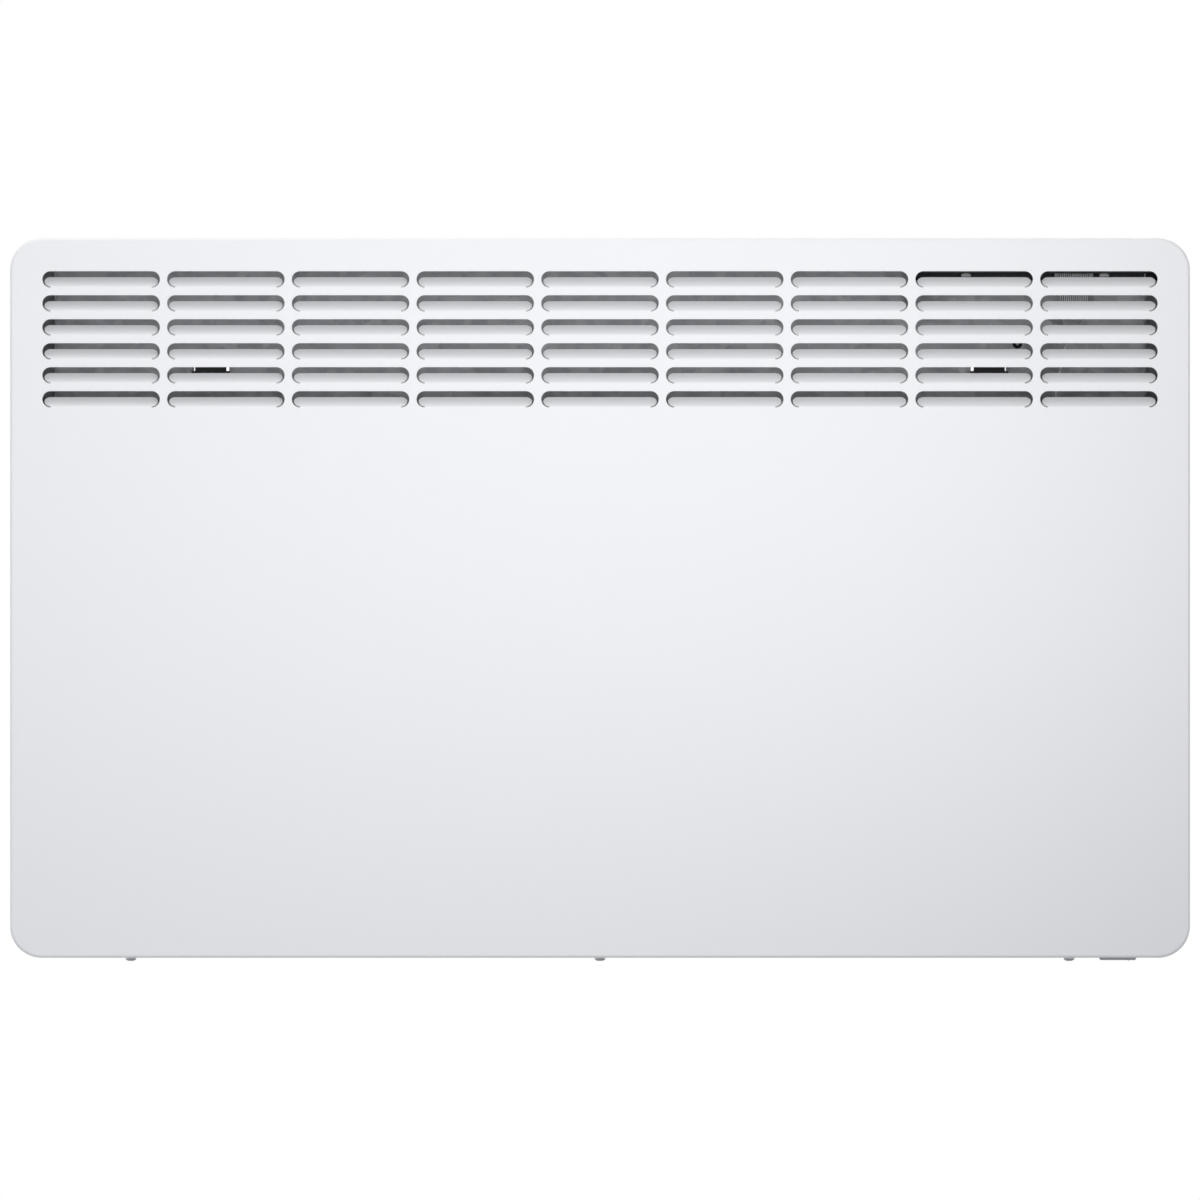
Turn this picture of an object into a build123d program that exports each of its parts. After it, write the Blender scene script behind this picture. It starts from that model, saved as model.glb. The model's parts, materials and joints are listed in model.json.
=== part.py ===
from build123d import *
import os
from math import cos, radians, sin

# Wall panel convector heater, modelled as its separate pieces, in millimetres.
# Frame: +X to the right seen from the room, +Y into the wall, +Z up.
# The origin is the centre of the wall bracket's screw holes, on the wall plane (y = 0).

# ---------------------------------------------------------------- driving dimensions
# Casing
casing_width = 738.0
casing_height = 450.0
casing_depth = 78.0  # front face to the back of the rear panel
wall_distance = 22.0  # back of the rear panel to the wall
corner_radius = 20.0
edge_radius = 1.8  # pressed edge round the front face
cover_sheet = 1.0
panel_sheet = 1.0
cover_clearance = 0.3  # front cover over the rear panel's flange
flange_depth = 26.0  # rear panel's flange, forward from its back

# Louvres, lanced in the front face: each slot keeps a tongue bent in along its lower edge
louvre_rows = 6
louvre_pitch_x = 78.0
louvre_pitch_z = 15.0
slot_length = 73.5
slot_height = 10.2
louvre_top_margin = 20.6  # casing top to the first slot's upper edge
louvre_side_margin = 20.0  # least plain width beside the outermost slots
tongue_kerf = 0.8  # cut between a tongue's free edge and its slot
tongue_angle = 47.0  # bend away from the front face, in degrees
slot_end_flats = 4  # flats that draw the half circle at each end of a slot

# Air inlets punched in the cover's bottom wall
inlet_length = 66.0
inlet_width = 9.0
inlet_rows = 2
inlet_pitch = 16.0
inlet_front_offset = 13.0  # front face to the first row's near edge

# Wall bracket: two channel legs and two crossbars
bracket_side_inset = 125.0  # casing side to the centre of a leg
bracket_hole_inset = 105.0  # casing top or bottom to a screw hole
bracket_hole_radius = 3.25
bracket_sheet = 1.2
leg_width = 32.0
leg_clearance = 0.3  # front of the legs to the rear panel
leg_tail = 14.0  # leg below its lower hook
crossbar_height = 25.0
crossbar_depth = 12.0
crossbar_inset = 35.0  # screw hole to the middle of the nearer crossbar
catch_width = 24.0
catch_height = 8.7
hook_width = 18.0
hook_drop = 84.0  # casing bottom up to the lower hooks
hook_reach = 4.0  # lower hook's lip in front of the rear panel
hook_lip = 8.0
hook_clearance = 0.1
catch_setback = 0.5  # legs' front edge back to the catch

# Stiffening beads pressed forward in the rear panel
bead_count = 2
bead_pitch = 110.0
bead_width = 14.0
bead_depth = 3.0
bead_margin = 14.0  # ends of the beads to the heat shield and to the partition's foot

# Wall latches, pressed down with a screwdriver through the louvres
latch_shoulder_drop = 82.7  # casing top down to the shoulder between stem and foot
latch_stem_width = 19.5
latch_foot_width = 23.8
latch_stem_height = 12.0
latch_foot_height = 11.2
latch_depth = 8.7
latch_clearance = 0.3
latch_travel = 5.0
latch_chamfer = 1.5
latch_face = 2.0  # wall in front of the spring's pocket
latch_crown = 2.0  # foot above the spring's pocket
latch_hook_sheet = 3.0
pocket_clearance = 2.0  # each side of the spring
latch_gap_inner = 1.8  # open beside the stem, on the side of the casing's middle
latch_gap_outer = 0.7  # open beside the stem, on the side of the casing's end
rail_width = 2.6  # rails behind the foot, which run in slots of the rear panel
rail_height = 6.3
rail_inset = 1.4  # foot's sides to the rails
rail_clearance = 0.2
rail_lip = 1.7  # lips that hold the rails behind the rear panel
rail_lip_sheet = 1.2
catch_overlap = 3.7
neck_rise = 2.0  # latch's shoulder up to its neck
neck_height = 4.0
neck_width = 14.0
spring_strip = 0.6
spring_width = 4.0
spring_length = 8.0
spring_folds = 4
spring_swing = 2.4  # of each fold, from the middle
spring_seat_setback = 3.0  # latch's front to the tab under its spring
spring_clearance = 0.1

# Heating element, lying across the casing in front of the rear panel
element_rise = 90.0  # casing bottom to the element's axis
element_left_inset = 84.0  # casing side to the element's left end
element_right_gap = 46.0  # element's right end to the partition
element_core_radius = 8.0
fin_length = 35.0
fin_sheet = 2.0
fin_angle = 36.0  # of the four fins, from the vertical
side_fin_span = 19.2  # over the two short fins
rod_radius = 4.25
rod_stub = 20.0  # rod beyond each end of the finned body
rod_clearance = 0.05
bush_side = 16.0
bush_length = 6.0
support_sheet = 1.0
support_foot = 14.0
support_gap = 8.0  # finned body to each support
support_half_height = 18.0
support_rim = 6.0  # support beyond its bush, on the front side
terminal_pitch = 5.0
terminal_length = 10.0
terminal_tab = (0.8, 4.8)

# Sheet metal round the element
shield_gap = 18.0  # inside of the front cover to the heat shield
shield_sheet = 0.8
shield_left_inset = 37.0
shield_foot = 12.0
shield_hem = 7.0
shield_hem_gap = 1.0  # hem to the partition's lip
duct_bottom = 25.0  # casing bottom to the lower edges of shield and partition
duct_top_drop = 130.0  # casing top down to their upper edges
partition_inset = 98.0  # casing side to the partition's left face
partition_sheet = 1.0
partition_lip = 12.0
lead_opening = (16.0, 14.0)
cutout_rise = 50.0  # element's axis up to the thermal cutout
cutout_flange = (16.0, 24.0)
cutout_flange_sheet = 1.0
cutout_radius = 8.0
cutout_height = 8.0
cutout_tab = (7.0, 6.0, 0.8)
cutout_tab_pitch = 8.0

# Power electronics on the partition
board_sheet = 1.6
board_offset = 6.0  # partition to board
board_edge = 4.0  # board to the front of the duct and to the rear panel
board_height = 180.0
board_rise = 25.0  # element's axis up to the board's lower end
standoff_side = 5.0
relay_size = (15.0, 20.0, 29.0)
transformer_size = (24.0, 30.0, 34.0)
heatsink_size = (18.0, 30.0, 26.0)
heatsink_fins = 4
heatsink_base = 3.0
heatsink_fin = 2.0
capacitor_size = (13.0, 8.0, 26.0)
component_gap = 4.0
component_edge = 2.0  # board's front edge to the suppressor
terminal_block_size = (12.0, 34.0, 16.0)
terminal_ways = 4
terminal_rise = 8.0  # board's lower end up to the terminal block
terminal_pocket_width = 5.0
terminal_pocket_depth = 7.0
lead_offset = 5.0  # board to the middle of the leads in their pockets

# Control unit under the casing's top
control_inset = 96.5  # casing side to the control unit's centre
control_width = 156.0
control_height = 20.3
control_front_gap = 14.0  # casing front to the tub
control_rear_gap = 7.0  # tub to the rear panel
tub_wall = 1.5
tub_corner = 3.0
lid_sheet = 1.2
lid_recess = 0.1  # control face below the casing's top
control_face_margin = 13.0  # each end of the lid beyond the control face
control_face_depth = 34.0
control_face_radius = 4.0
control_face_clearance = 0.3
control_board_rise = 5.0  # tub floor to the control board
lens_gap = 6.0  # lens to the first button
lens_depth = 22.0
lens_sheet = 1.0
lens_clearance = 0.1
lens_seat = 2.0  # rim under the lens
display_inset = 3.0
face_end = 7.0  # control face's ends to the lens and to the last button
button_side = 10.0
button_pitch = 14.0
button_corner = 1.2
button_clearance = 0.15
button_travel = 0.8
button_rim = 1.0
button_rim_sheet = 1.0
button_count = 4
button_play = 0.1  # stem to key when fully pressed
key_side = 6.0
key_height = 3.4
plunger_side = 3.0
plunger_height = 1.4
clip_width = 10.0
clip_sheet = 1.8
clip_end = 20.0  # tub's ends to the middle of each rear clip
clip_rise = 6.0
clip_barb = 1.5  # clip behind the rear panel
spacer_side = 6.0
spacer_reach = 2.2  # snap end of a board spacer below the tub
spacer_offset = 43.3
spacer_peg = 3.0
spacer_hole_clearance = 0.1
spacer_snap_clearance = 0.2

# Ribbon cable from the control unit down to the power board
ribbon_width = 18.2
ribbon_sheet = 1.0
ribbon_offset = 24.3  # control unit's centre to the ribbon's middle
ribbon_board_gap = 6.0  # board to the ribbon's straight drop
plug_width = 24.4
plug_depth = 6.0
plug_height = 6.5
plug_clearance = 0.1
ear_height = 4.0  # ejector ears that flank the ribbon at the socket
ear_reach = 1.5
ribbon_turn_top = 41.0  # below the casing's top: where the ribbon starts to turn edge on
ribbon_turn_height = 18.5
ribbon_fall_height = 35.0  # slanted stretch below the turn
ribbon_slant = 7.8  # sideways over the slanted stretch
ribbon_turn_steps = 3

# Mains switch in the bottom
switch_inset = 44.5  # casing side to the switch's centre
switch_plane = 12.0  # back of the rear panel forward to the switch and the cover screws
switch_bezel = (23.0, 15.0)
switch_bezel_height = 3.2
switch_bezel_chamfer = 0.8
switch_body = (19.6, 13.0)
switch_body_height = 15.0
switch_hole_clearance = 0.2
rocker_radius = 8.6
rocker_depth = 10.6
rocker_clearance = 0.25
rocker_pivot_rise = 2.8  # casing bottom up to the rocker's axis
rocker_swing = 16.0  # between its two positions, in degrees
rocker_corner_angle = 28.0
rocker_valley = 3.0
rocker_heel_angle = 4.0
rocker_back = (3.0, 3.4)
rocker_pin_radius = 1.3
rocker_pin_clearance = 0.05
switch_tab = (4.8, 0.8, 8.0)
switch_tab_pitch = 5.9

# Cover screws
screw_inset = 75.0  # casing side to the outer screws
screw_head_radius = 3.5
screw_head_height = 2.6
screw_head_chamfer = 1.0
screw_radius = 1.7
screw_sides = 8  # flats that draw the hidden shanks and their holes
screw_length = 12.0
screw_clearance = 0.05
cover_hole_clearance = 0.3

# Cable entry, room sensor, earth stud and blanking plug
gland_inset = 49.0
gland_rise = 75.0
gland_bore_radius = 4.0
gland_inlet_radius = 5.0
gland_neck_radius = 7.0
gland_flange_radius = 10.0
gland_clearance = 0.1
gland_boss_length = 9.0
gland_collar = 3.0  # six-sided snap collar in front of the panel
gland_collar_rim = 1.5
gland_step = 0.5  # narrow bore starts this far behind the panel
sensor_inset = 28.0
sensor_radius = 2.5
sensor_length = 9.0
sensor_clip_wall = 1.2
sensor_clip_inset = 1.0  # sensor's end beyond its clip
sensor_rise = 10.0
sensor_play = 0.05
stud_inset = 24.0
stud_rise = 45.0
stud_radius = 2.0
stud_length = 11.0
nut_across_flats = 7.0
nut_height = 3.2
nut_clearance = 0.05
blank_inset = 107.3
blank_drop = 65.5
blank_radius = 3.1
blank_dish_radius = 1.9
blank_dish = 0.9
blank_stem_radius = 2.5
blank_head = 1.6
lead_radius = 1.1
lead_bend = 8.0
lead_sides = 6
lead_clearance = 0.3

# ---------------------------------------------------------------- derived places
right_x = casing_width / 2
top_z = casing_height / 2
bottom_z = -top_z
front_y = -(wall_distance + casing_depth)
panel_rear_y = -wall_distance
panel_front_y = panel_rear_y - panel_sheet
flange_front_y = panel_rear_y - flange_depth
cover_inside_y = front_y + cover_sheet
panel_width = casing_width - 2 * (cover_sheet + cover_clearance)
panel_height = casing_height - 2 * (cover_sheet + cover_clearance)
panel_radius = corner_radius - cover_sheet - cover_clearance
flange_out_z = panel_height / 2  # outer face of the rear panel's top flange
flange_in_z = flange_out_z - panel_sheet

leg_x = right_x - bracket_side_inset
hole_z = top_z - bracket_hole_inset
leg_front_y = panel_rear_y + leg_clearance

latch_shoulder_z = top_z - latch_shoulder_drop
latch_front_y = panel_front_y - latch_clearance - latch_depth
latch_rear_y = panel_front_y - latch_clearance
neck_low_z = latch_shoulder_z + neck_rise
neck_top_z = neck_low_z + neck_height
catch_low_z = neck_top_z + latch_clearance
catch_front_y = leg_front_y + catch_setback
catch_rear_y = catch_front_y + bracket_sheet
hook_front_y = catch_rear_y + latch_clearance
hook_z = bottom_z + hook_drop
rail_out = latch_foot_width / 2 - rail_inset
rail_in = rail_out - rail_width
rail_low_z = latch_shoulder_z - rail_height
rail_lip_y = panel_rear_y + latch_clearance
spring_seat_z = latch_shoulder_z - latch_crown - spring_length

partition_x = right_x - partition_inset
partition_right_x = partition_x + partition_sheet
shield_front_y = cover_inside_y + shield_gap
shield_rear_y = shield_front_y + shield_sheet
duct_low_z = bottom_z + duct_bottom
duct_top_z = top_z - duct_top_drop
partition_front_y = shield_rear_y
element_y = (shield_rear_y + panel_front_y) / 2
element_z = bottom_z + element_rise
element_left_x = -right_x + element_left_inset
element_right_x = partition_x - element_right_gap

board_left_x = partition_right_x + board_offset
board_right_x = board_left_x + board_sheet
board_front_y = partition_front_y + partition_sheet + board_edge
board_rear_y = panel_front_y - board_edge
board_middle_y = (board_front_y + board_rear_y) / 2
board_low_z = element_z + board_rise
board_top_z = board_low_z + board_height
terminal_low_z = board_low_z + terminal_rise
suppressor_low_z = terminal_low_z + terminal_block_size[2] + component_gap
heatsink_low_z = suppressor_low_z + capacitor_size[2] + component_gap
transformer_low_z = heatsink_low_z + heatsink_size[2] + component_gap
relay_low_z = transformer_low_z + transformer_size[2] + component_gap
lead_x = board_right_x + lead_offset

control_x = right_x - control_inset
control_face_z = top_z - lid_recess
lid_top_z = top_z - cover_sheet - cover_clearance
lid_low_z = lid_top_z - lid_sheet
tub_low_z = lid_low_z - control_height + lid_sheet
tub_front_y = front_y + control_front_gap
tub_rear_y = panel_front_y - control_rear_gap
control_y = (tub_front_y + tub_rear_y) / 2
tub_floor_z = tub_low_z + tub_wall
control_board_z = tub_floor_z + control_board_rise
key_top_z = control_board_z + board_sheet + key_height
control_face_width = control_width - 2 * control_face_margin
buttons_width = (button_count - 1) * button_pitch + button_side
lens_width = control_face_width - 2 * face_end - buttons_width - lens_gap
lens_x = control_x - control_face_width / 2 + face_end + lens_width / 2
last_button_x = control_x + control_face_width / 2 - face_end - button_side / 2
button_xs = [last_button_x - i * button_pitch for i in reversed(range(button_count))]

ribbon_x = control_x + ribbon_offset
ribbon_turn_top_z = top_z - ribbon_turn_top
ribbon_turn_low_z = ribbon_turn_top_z - ribbon_turn_height
ribbon_fall_low_z = ribbon_turn_low_z - ribbon_fall_height
ribbon_low_x = board_right_x + ribbon_board_gap
ribbon_mid_x = ribbon_low_x + ribbon_slant
ribbon_y = board_middle_y
ribbon_plug_z = board_top_z - plug_height
socket_front_y = ribbon_y + ribbon_sheet / 2 + plug_clearance
switch_x = right_x - switch_inset
switch_y = panel_rear_y - switch_plane
switch_seat_z = -flange_out_z
gland_x = right_x - gland_inset
gland_z = bottom_z + gland_rise


# ---------------------------------------------------------------- helpers
def block(x0, x1, y0, y1, z0, z1):
    """Square block between two opposite corners."""
    return Pos(x0, y0, z0) * Box(x1 - x0, y1 - y0, z1 - z0, align=(Align.MIN,) * 3)


def front_view(outline, y_rear, y_front):
    """Solid from an outline drawn in X and Z, between two depths."""
    plane = Plane(origin=(0, y_rear, 0), x_dir=(1, 0, 0), z_dir=(0, -1, 0))
    return extrude(plane * outline, amount=y_rear - y_front)


def side_view(outline, x_left, x_right):
    """Solid from a section drawn in Y and Z, between two positions along X."""
    return extrude(Plane.YZ.offset(x_left) * outline, amount=x_right - x_left)


def top_view(outline, z_low, z_high):
    """Solid from an outline drawn in X and Y, between two heights."""
    return extrude(Plane.XY.offset(z_low) * outline, amount=z_high - z_low)


def louvre_centres():
    """Centres of all slots in the front face, as (x, z)."""
    bridge = louvre_pitch_x - slot_length
    columns = int((casing_width - 2 * louvre_side_margin + bridge) // louvre_pitch_x)
    first_z = top_z - louvre_top_margin - slot_height / 2
    for row in range(louvre_rows):
        for column in range(columns):
            x = (column - (columns - 1) / 2) * louvre_pitch_x
            yield x, first_z - row * louvre_pitch_z


# ---------------------------------------------------------------- casing
def round_end(radius, start, stop):
    """Points round the right-hand end of a slot, from one angle to another, in degrees."""
    end_x = (slot_length - slot_height) / 2
    middle = slot_height / 2
    step = 180 / slot_end_flats
    for i in range(int((stop - start) / step) + 1):
        angle = radians(start + i * step)
        yield end_x + radius * cos(angle), middle + radius * sin(angle)


def both_ends(right):
    """Closed outline from its right-hand points, mirrored to the left."""
    return make_face(Polyline(*right, *[(-x, z) for x, z in reversed(right)], close=True))


def slot_outline():
    """One slot, upwards from its lower edge."""
    return both_ends(list(round_end(slot_height / 2, -90, 90)))


def tongue_outline():
    """Flat pattern of one louvre tongue, upwards from its bend line."""
    end_x = (slot_length - slot_height) / 2
    free = list(round_end(slot_height / 2 - tongue_kerf, -90, 90))
    return both_ends([(end_x, 0), *free])


def louvre_tongue(outline, x, z):
    """One tongue, bent in about the lower edge of its slot."""
    bend = radians(tongue_angle)
    plane = Plane(
        origin=(x, front_y, z - slot_height / 2),
        x_dir=(-1, 0, 0),
        z_dir=(0, cos(bend), -sin(bend)),
    )
    return extrude(plane * outline, amount=cover_sheet)


def inlet_slots():
    """Rows of air inlets across the bottom wall."""
    count = int((casing_width - 2 * corner_radius) // louvre_pitch_x)
    for row in range(inlet_rows):
        y = front_y + inlet_front_offset + row * inlet_pitch
        for column in range(count):
            x = (column - (count - 1) / 2) * louvre_pitch_x
            yield block(
                x - inlet_length / 2,
                x + inlet_length / 2,
                y,
                y + inlet_width,
                bottom_z - cover_sheet,
                bottom_z + 2 * cover_sheet,
            )


def control_face_outline(clearance):
    """Outline of the control face in the casing's top, larger by a clearance."""
    return Pos(control_x, control_y) * RectangleRounded(
        control_face_width + 2 * clearance,
        control_face_depth + 2 * clearance,
        control_face_radius + clearance,
    )


def front_cover():
    """Pressed sheet cover: louvred front with four walls folded back from it."""
    outer = front_view(
        RectangleRounded(casing_width, casing_height, corner_radius), panel_rear_y, front_y
    )
    rim = outer.faces().sort_by(Axis.Y)[0].outer_wire().edges()
    outer = fillet(rim, edge_radius)
    inside = RectangleRounded(
        casing_width - 2 * cover_sheet, casing_height - 2 * cover_sheet, corner_radius - cover_sheet
    )
    cover = outer - front_view(inside, panel_rear_y, cover_inside_y)
    slot = Pos(0, -slot_height / 2) * slot_outline()
    slots = Sketch() + [Pos(x, z) * slot for x, z in louvre_centres()]
    cover -= front_view(slots, cover_inside_y, front_y)
    outline = tongue_outline()
    cover += [louvre_tongue(outline, x, z) for x, z in louvre_centres()]
    cover -= list(inlet_slots())
    cover -= top_view(
        control_face_outline(control_face_clearance), top_z - 2 * cover_sheet, top_z + cover_sheet
    )
    notch_x = switch_bezel[0] / 2 + cover_clearance
    cover -= block(
        switch_x - notch_x,
        switch_x + notch_x,
        switch_y - switch_bezel[1] / 2 - cover_clearance,
        panel_rear_y,
        bottom_z - cover_sheet,
        bottom_z + 2 * cover_sheet,
    )
    hole = RegularPolygon(screw_radius + cover_hole_clearance, screw_sides)
    cover -= [
        top_view(Pos(x, switch_y) * hole, bottom_z - cover_sheet, bottom_z + 2 * cover_sheet)
        for x in screw_xs()
    ]
    return cover


def screw_xs():
    """Places of the cover screws along the bottom."""
    outer = right_x - screw_inset
    return (-outer, 0.0, outer)


def cover_screws():
    """Pan-head screws, up through the cover's bottom wall into the rear panel's flange."""
    head_low = bottom_z - screw_head_height
    for x in screw_xs():
        head = top_view(Pos(x, switch_y) * Circle(screw_head_radius), head_low, bottom_z)
        head = chamfer(head.edges().sort_by(Axis.Z)[0], screw_head_chamfer)
        shank = Pos(x, switch_y) * RegularPolygon(screw_radius, screw_sides)
        yield head + top_view(shank, bottom_z, bottom_z + screw_length)


def latch_opening(side):
    """Opening behind a latch: open beside the stem, with two slots below it for the rails."""
    x = side * leg_x
    stem = latch_stem_width / 2
    ends = sorted((x - side * (stem + latch_gap_inner), x + side * (stem + latch_gap_outer)))
    top = neck_top_z + catch_overlap + 2 * latch_clearance
    yield block(*ends, panel_front_y, panel_rear_y, latch_shoulder_z, top)
    far = rail_out + rail_clearance
    neck_stop = neck_low_z - latch_travel - latch_clearance
    yield block(x - far, x + far, panel_front_y, panel_rear_y, neck_stop, latch_shoulder_z)
    slot_low = rail_low_z - latch_travel - latch_clearance
    for end in (-1, 1):
        ends = sorted((x + end * (rail_in - rail_clearance), x + end * far))
        yield block(*ends, panel_front_y, panel_rear_y, slot_low, latch_shoulder_z)


def spring_seat(x):
    """Tab lanced forward under a latch's spring."""
    return block(
        x - spring_width,
        x + spring_width,
        latch_front_y + spring_seat_setback,
        panel_front_y,
        spring_seat_z - panel_sheet,
        spring_seat_z,
    )


def pressed_bead(tray, z):
    """The tray with a flat-bottomed bead pressed forward along it at one height."""
    x0 = -right_x + shield_left_inset + bead_margin
    x1 = partition_x - partition_lip - bead_margin
    low_z = z - bead_width / 2
    high_z = z + bead_width / 2
    front = panel_front_y - bead_depth
    tray += block(x0, x1, front, panel_front_y, low_z, high_z)
    return tray - block(
        x0 + panel_sheet,
        x1 - panel_sheet,
        front + panel_sheet,
        panel_rear_y,
        low_z + panel_sheet,
        high_z - panel_sheet,
    )


def rear_panel():
    """Sheet tray that carries everything: a plate with a flange folded forward all round."""
    tray = front_view(
        RectangleRounded(panel_width, panel_height, panel_radius), panel_rear_y, flange_front_y
    )
    tray -= front_view(
        RectangleRounded(
            panel_width - 2 * panel_sheet, panel_height - 2 * panel_sheet, panel_radius - panel_sheet
        ),
        panel_front_y,
        flange_front_y,
    )
    half = control_width / 2 + cover_clearance
    tray -= block(
        control_x - half, control_x + half, flange_front_y, panel_front_y, tub_low_z, flange_out_z
    )
    for i in range(bead_count):
        tray = pressed_bead(tray, (i - (bead_count - 1) / 2) * bead_pitch)
    for side in (-1, 1):
        x = side * leg_x
        tray += spring_seat(x)
        tray -= list(latch_opening(side))
        slot = hook_width / 2 + latch_clearance
        tray -= block(
            x - slot,
            x + slot,
            panel_front_y,
            panel_rear_y,
            hook_z - hook_lip - 2 * bracket_sheet,
            hook_z + hook_clearance,
        )
    opening = (
        switch_body[0] + 2 * switch_hole_clearance,
        switch_body[1] + 2 * switch_hole_clearance,
    )
    tray -= top_view(Pos(switch_x, switch_y) * Rectangle(*opening), -flange_out_z, -flange_in_z)
    hole = RegularPolygon(screw_radius + screw_clearance, screw_sides)
    tray -= [top_view(Pos(x, switch_y) * hole, -flange_out_z, -flange_in_z) for x in screw_xs()]
    tray -= front_view(
        Pos(gland_x, gland_z) * Circle(gland_neck_radius + gland_clearance),
        panel_rear_y,
        panel_front_y,
    )
    tray -= front_view(
        blank_place() * RegularPolygon(blank_stem_radius + gland_clearance, 6),
        panel_rear_y,
        panel_front_y,
    )
    for x, z in clip_places():
        tray -= block(
            x - clip_width / 2 - latch_clearance,
            x + clip_width / 2 + latch_clearance,
            panel_front_y,
            panel_rear_y,
            z - latch_clearance,
            z + 2 * clip_sheet + latch_clearance,
        )
    return tray


# ---------------------------------------------------------------- wall bracket
def bracket_leg(side):
    """Channel on the wall, with a catch folded out of it at the top and a hook at its foot."""
    x = side * leg_x
    low_z = hook_z - leg_tail
    high_z = catch_low_z + catch_height
    half = leg_width / 2
    leg = block(x - half, x + half, leg_front_y, 0, low_z, high_z)
    leg -= block(
        x - half + bracket_sheet,
        x + half - bracket_sheet,
        leg_front_y,
        -bracket_sheet,
        low_z,
        high_z,
    )
    catch = catch_width / 2
    leg += block(
        x - catch, x + catch, catch_front_y, -bracket_sheet, high_z - bracket_sheet, high_z
    )
    folded_out = -bracket_sheet - catch_front_y + catch_height
    leg -= block(
        x - catch,
        x + catch,
        -bracket_sheet,
        0,
        high_z - bracket_sheet - folded_out,
        high_z - bracket_sheet,
    )
    leg += block(x - catch, x + catch, catch_front_y, catch_rear_y, catch_low_z, high_z)
    hook = hook_width / 2
    lip_front_y = panel_front_y - hook_reach
    leg += block(
        x - hook, x + hook, lip_front_y, -bracket_sheet, hook_z - bracket_sheet, hook_z
    )
    leg += block(
        x - hook,
        x + hook,
        lip_front_y,
        lip_front_y + bracket_sheet,
        hook_z - bracket_sheet,
        hook_z + hook_lip,
    )
    hole = Circle(bracket_hole_radius)
    for z in (-hole_z, hole_z):
        leg -= front_view(Pos(x, z) * hole, 0, -bracket_sheet)
    return leg


def crossbar(z):
    """Folded bar between the legs, closed by end tabs that are spot-welded to them."""
    end_x = leg_x - leg_width / 2
    low_z = z - crossbar_height / 2
    high_z = z + crossbar_height / 2
    bar = block(-end_x, end_x, -crossbar_depth, 0, low_z, high_z)
    return bar - block(
        -end_x + bracket_sheet,
        end_x - bracket_sheet,
        -crossbar_depth,
        -bracket_sheet,
        low_z + bracket_sheet,
        high_z - bracket_sheet,
    )


# ---------------------------------------------------------------- wall latches
def latch(side):
    """Moulded latch: stem, wider foot with two rails behind it, and a hook for the catch."""
    x = side * leg_x
    top = latch_shoulder_z + latch_stem_height
    shoulder = latch_shoulder_z
    stem = latch_stem_width / 2
    foot = latch_foot_width / 2
    body = block(x - stem, x + stem, latch_front_y, latch_rear_y, shoulder, top)
    body = chamfer(body.edges().group_by(Axis.Z)[-1].group_by(Axis.Y)[0], latch_chamfer)
    body += block(
        x - foot, x + foot, latch_front_y, latch_rear_y, shoulder - latch_foot_height, shoulder
    )
    lip_rear_y = rail_lip_y + rail_lip_sheet
    for end in (-1, 1):
        rail = sorted((x + end * rail_in, x + end * rail_out))
        body += block(*rail, latch_rear_y, lip_rear_y, rail_low_z, shoulder)
        lip = sorted((x + end * (rail_in - rail_lip), x + end * rail_out))
        body += block(*lip, rail_lip_y, lip_rear_y, rail_low_z, shoulder)
    half = neck_width / 2
    body += block(x - half, x + half, latch_rear_y, hook_front_y, neck_low_z, neck_top_z)
    body += block(
        x - half,
        x + half,
        hook_front_y,
        hook_front_y + latch_hook_sheet,
        neck_low_z,
        neck_top_z + catch_overlap,
    )
    pocket = spring_width + pocket_clearance
    spring_top = spring_seat_z + spring_length
    body -= block(
        x - pocket,
        x + pocket,
        latch_front_y + latch_face,
        latch_rear_y,
        shoulder - latch_foot_height,
        spring_top,
    )
    return body


def latch_spring(side):
    """Folded strip spring between the tab on the rear panel and the latch's pocket."""
    x = side * leg_x
    low_z = spring_seat_z + spring_clearance
    fold_height = (spring_length - 2 * spring_clearance) / spring_folds
    left = [
        (x - spring_strip + (spring_swing if i % 2 else -spring_swing), low_z + i * fold_height)
        for i in range(spring_folds + 1)
    ]
    right = [(point_x + 2 * spring_strip, point_z) for point_x, point_z in reversed(left)]
    strip = make_face(Polyline(*left, *right, close=True))
    middle_y = (latch_front_y + spring_seat_setback + panel_front_y) / 2
    return front_view(strip, middle_y + spring_width / 2, middle_y - spring_width / 2)


# ---------------------------------------------------------------- heating element
def heating_element():
    """Extruded aluminium body: a core with four fins set like an X and two short ones."""
    profile = Circle(element_core_radius)
    for angle in (fin_angle, -fin_angle):
        profile += Rot(Z=angle) * Rectangle(fin_sheet, 2 * fin_length)
    profile += Rectangle(side_fin_span, fin_sheet)
    profile -= Circle(rod_radius + rod_clearance)
    return side_view(Pos(element_y, element_z) * profile, element_left_x, element_right_x)


def heater_rod():
    """Steel-sheathed heating rod through the finned body."""
    return side_view(
        Pos(element_y, element_z) * Circle(rod_radius),
        element_left_x - rod_stub,
        element_right_x + rod_stub,
    )


def heater_terminals():
    """Two tabs at the rod's right end."""
    start = element_right_x + rod_stub
    for side in (-1, 1):
        tab = Pos(element_y + side * terminal_pitch / 2, element_z) * Rectangle(*terminal_tab)
        yield side_view(tab, start, start + terminal_length)


def support_x(side):
    """Middle of the sheet that holds the rod beyond one end of the finned body."""
    return element_right_x + support_gap if side > 0 else element_left_x - support_gap


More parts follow.
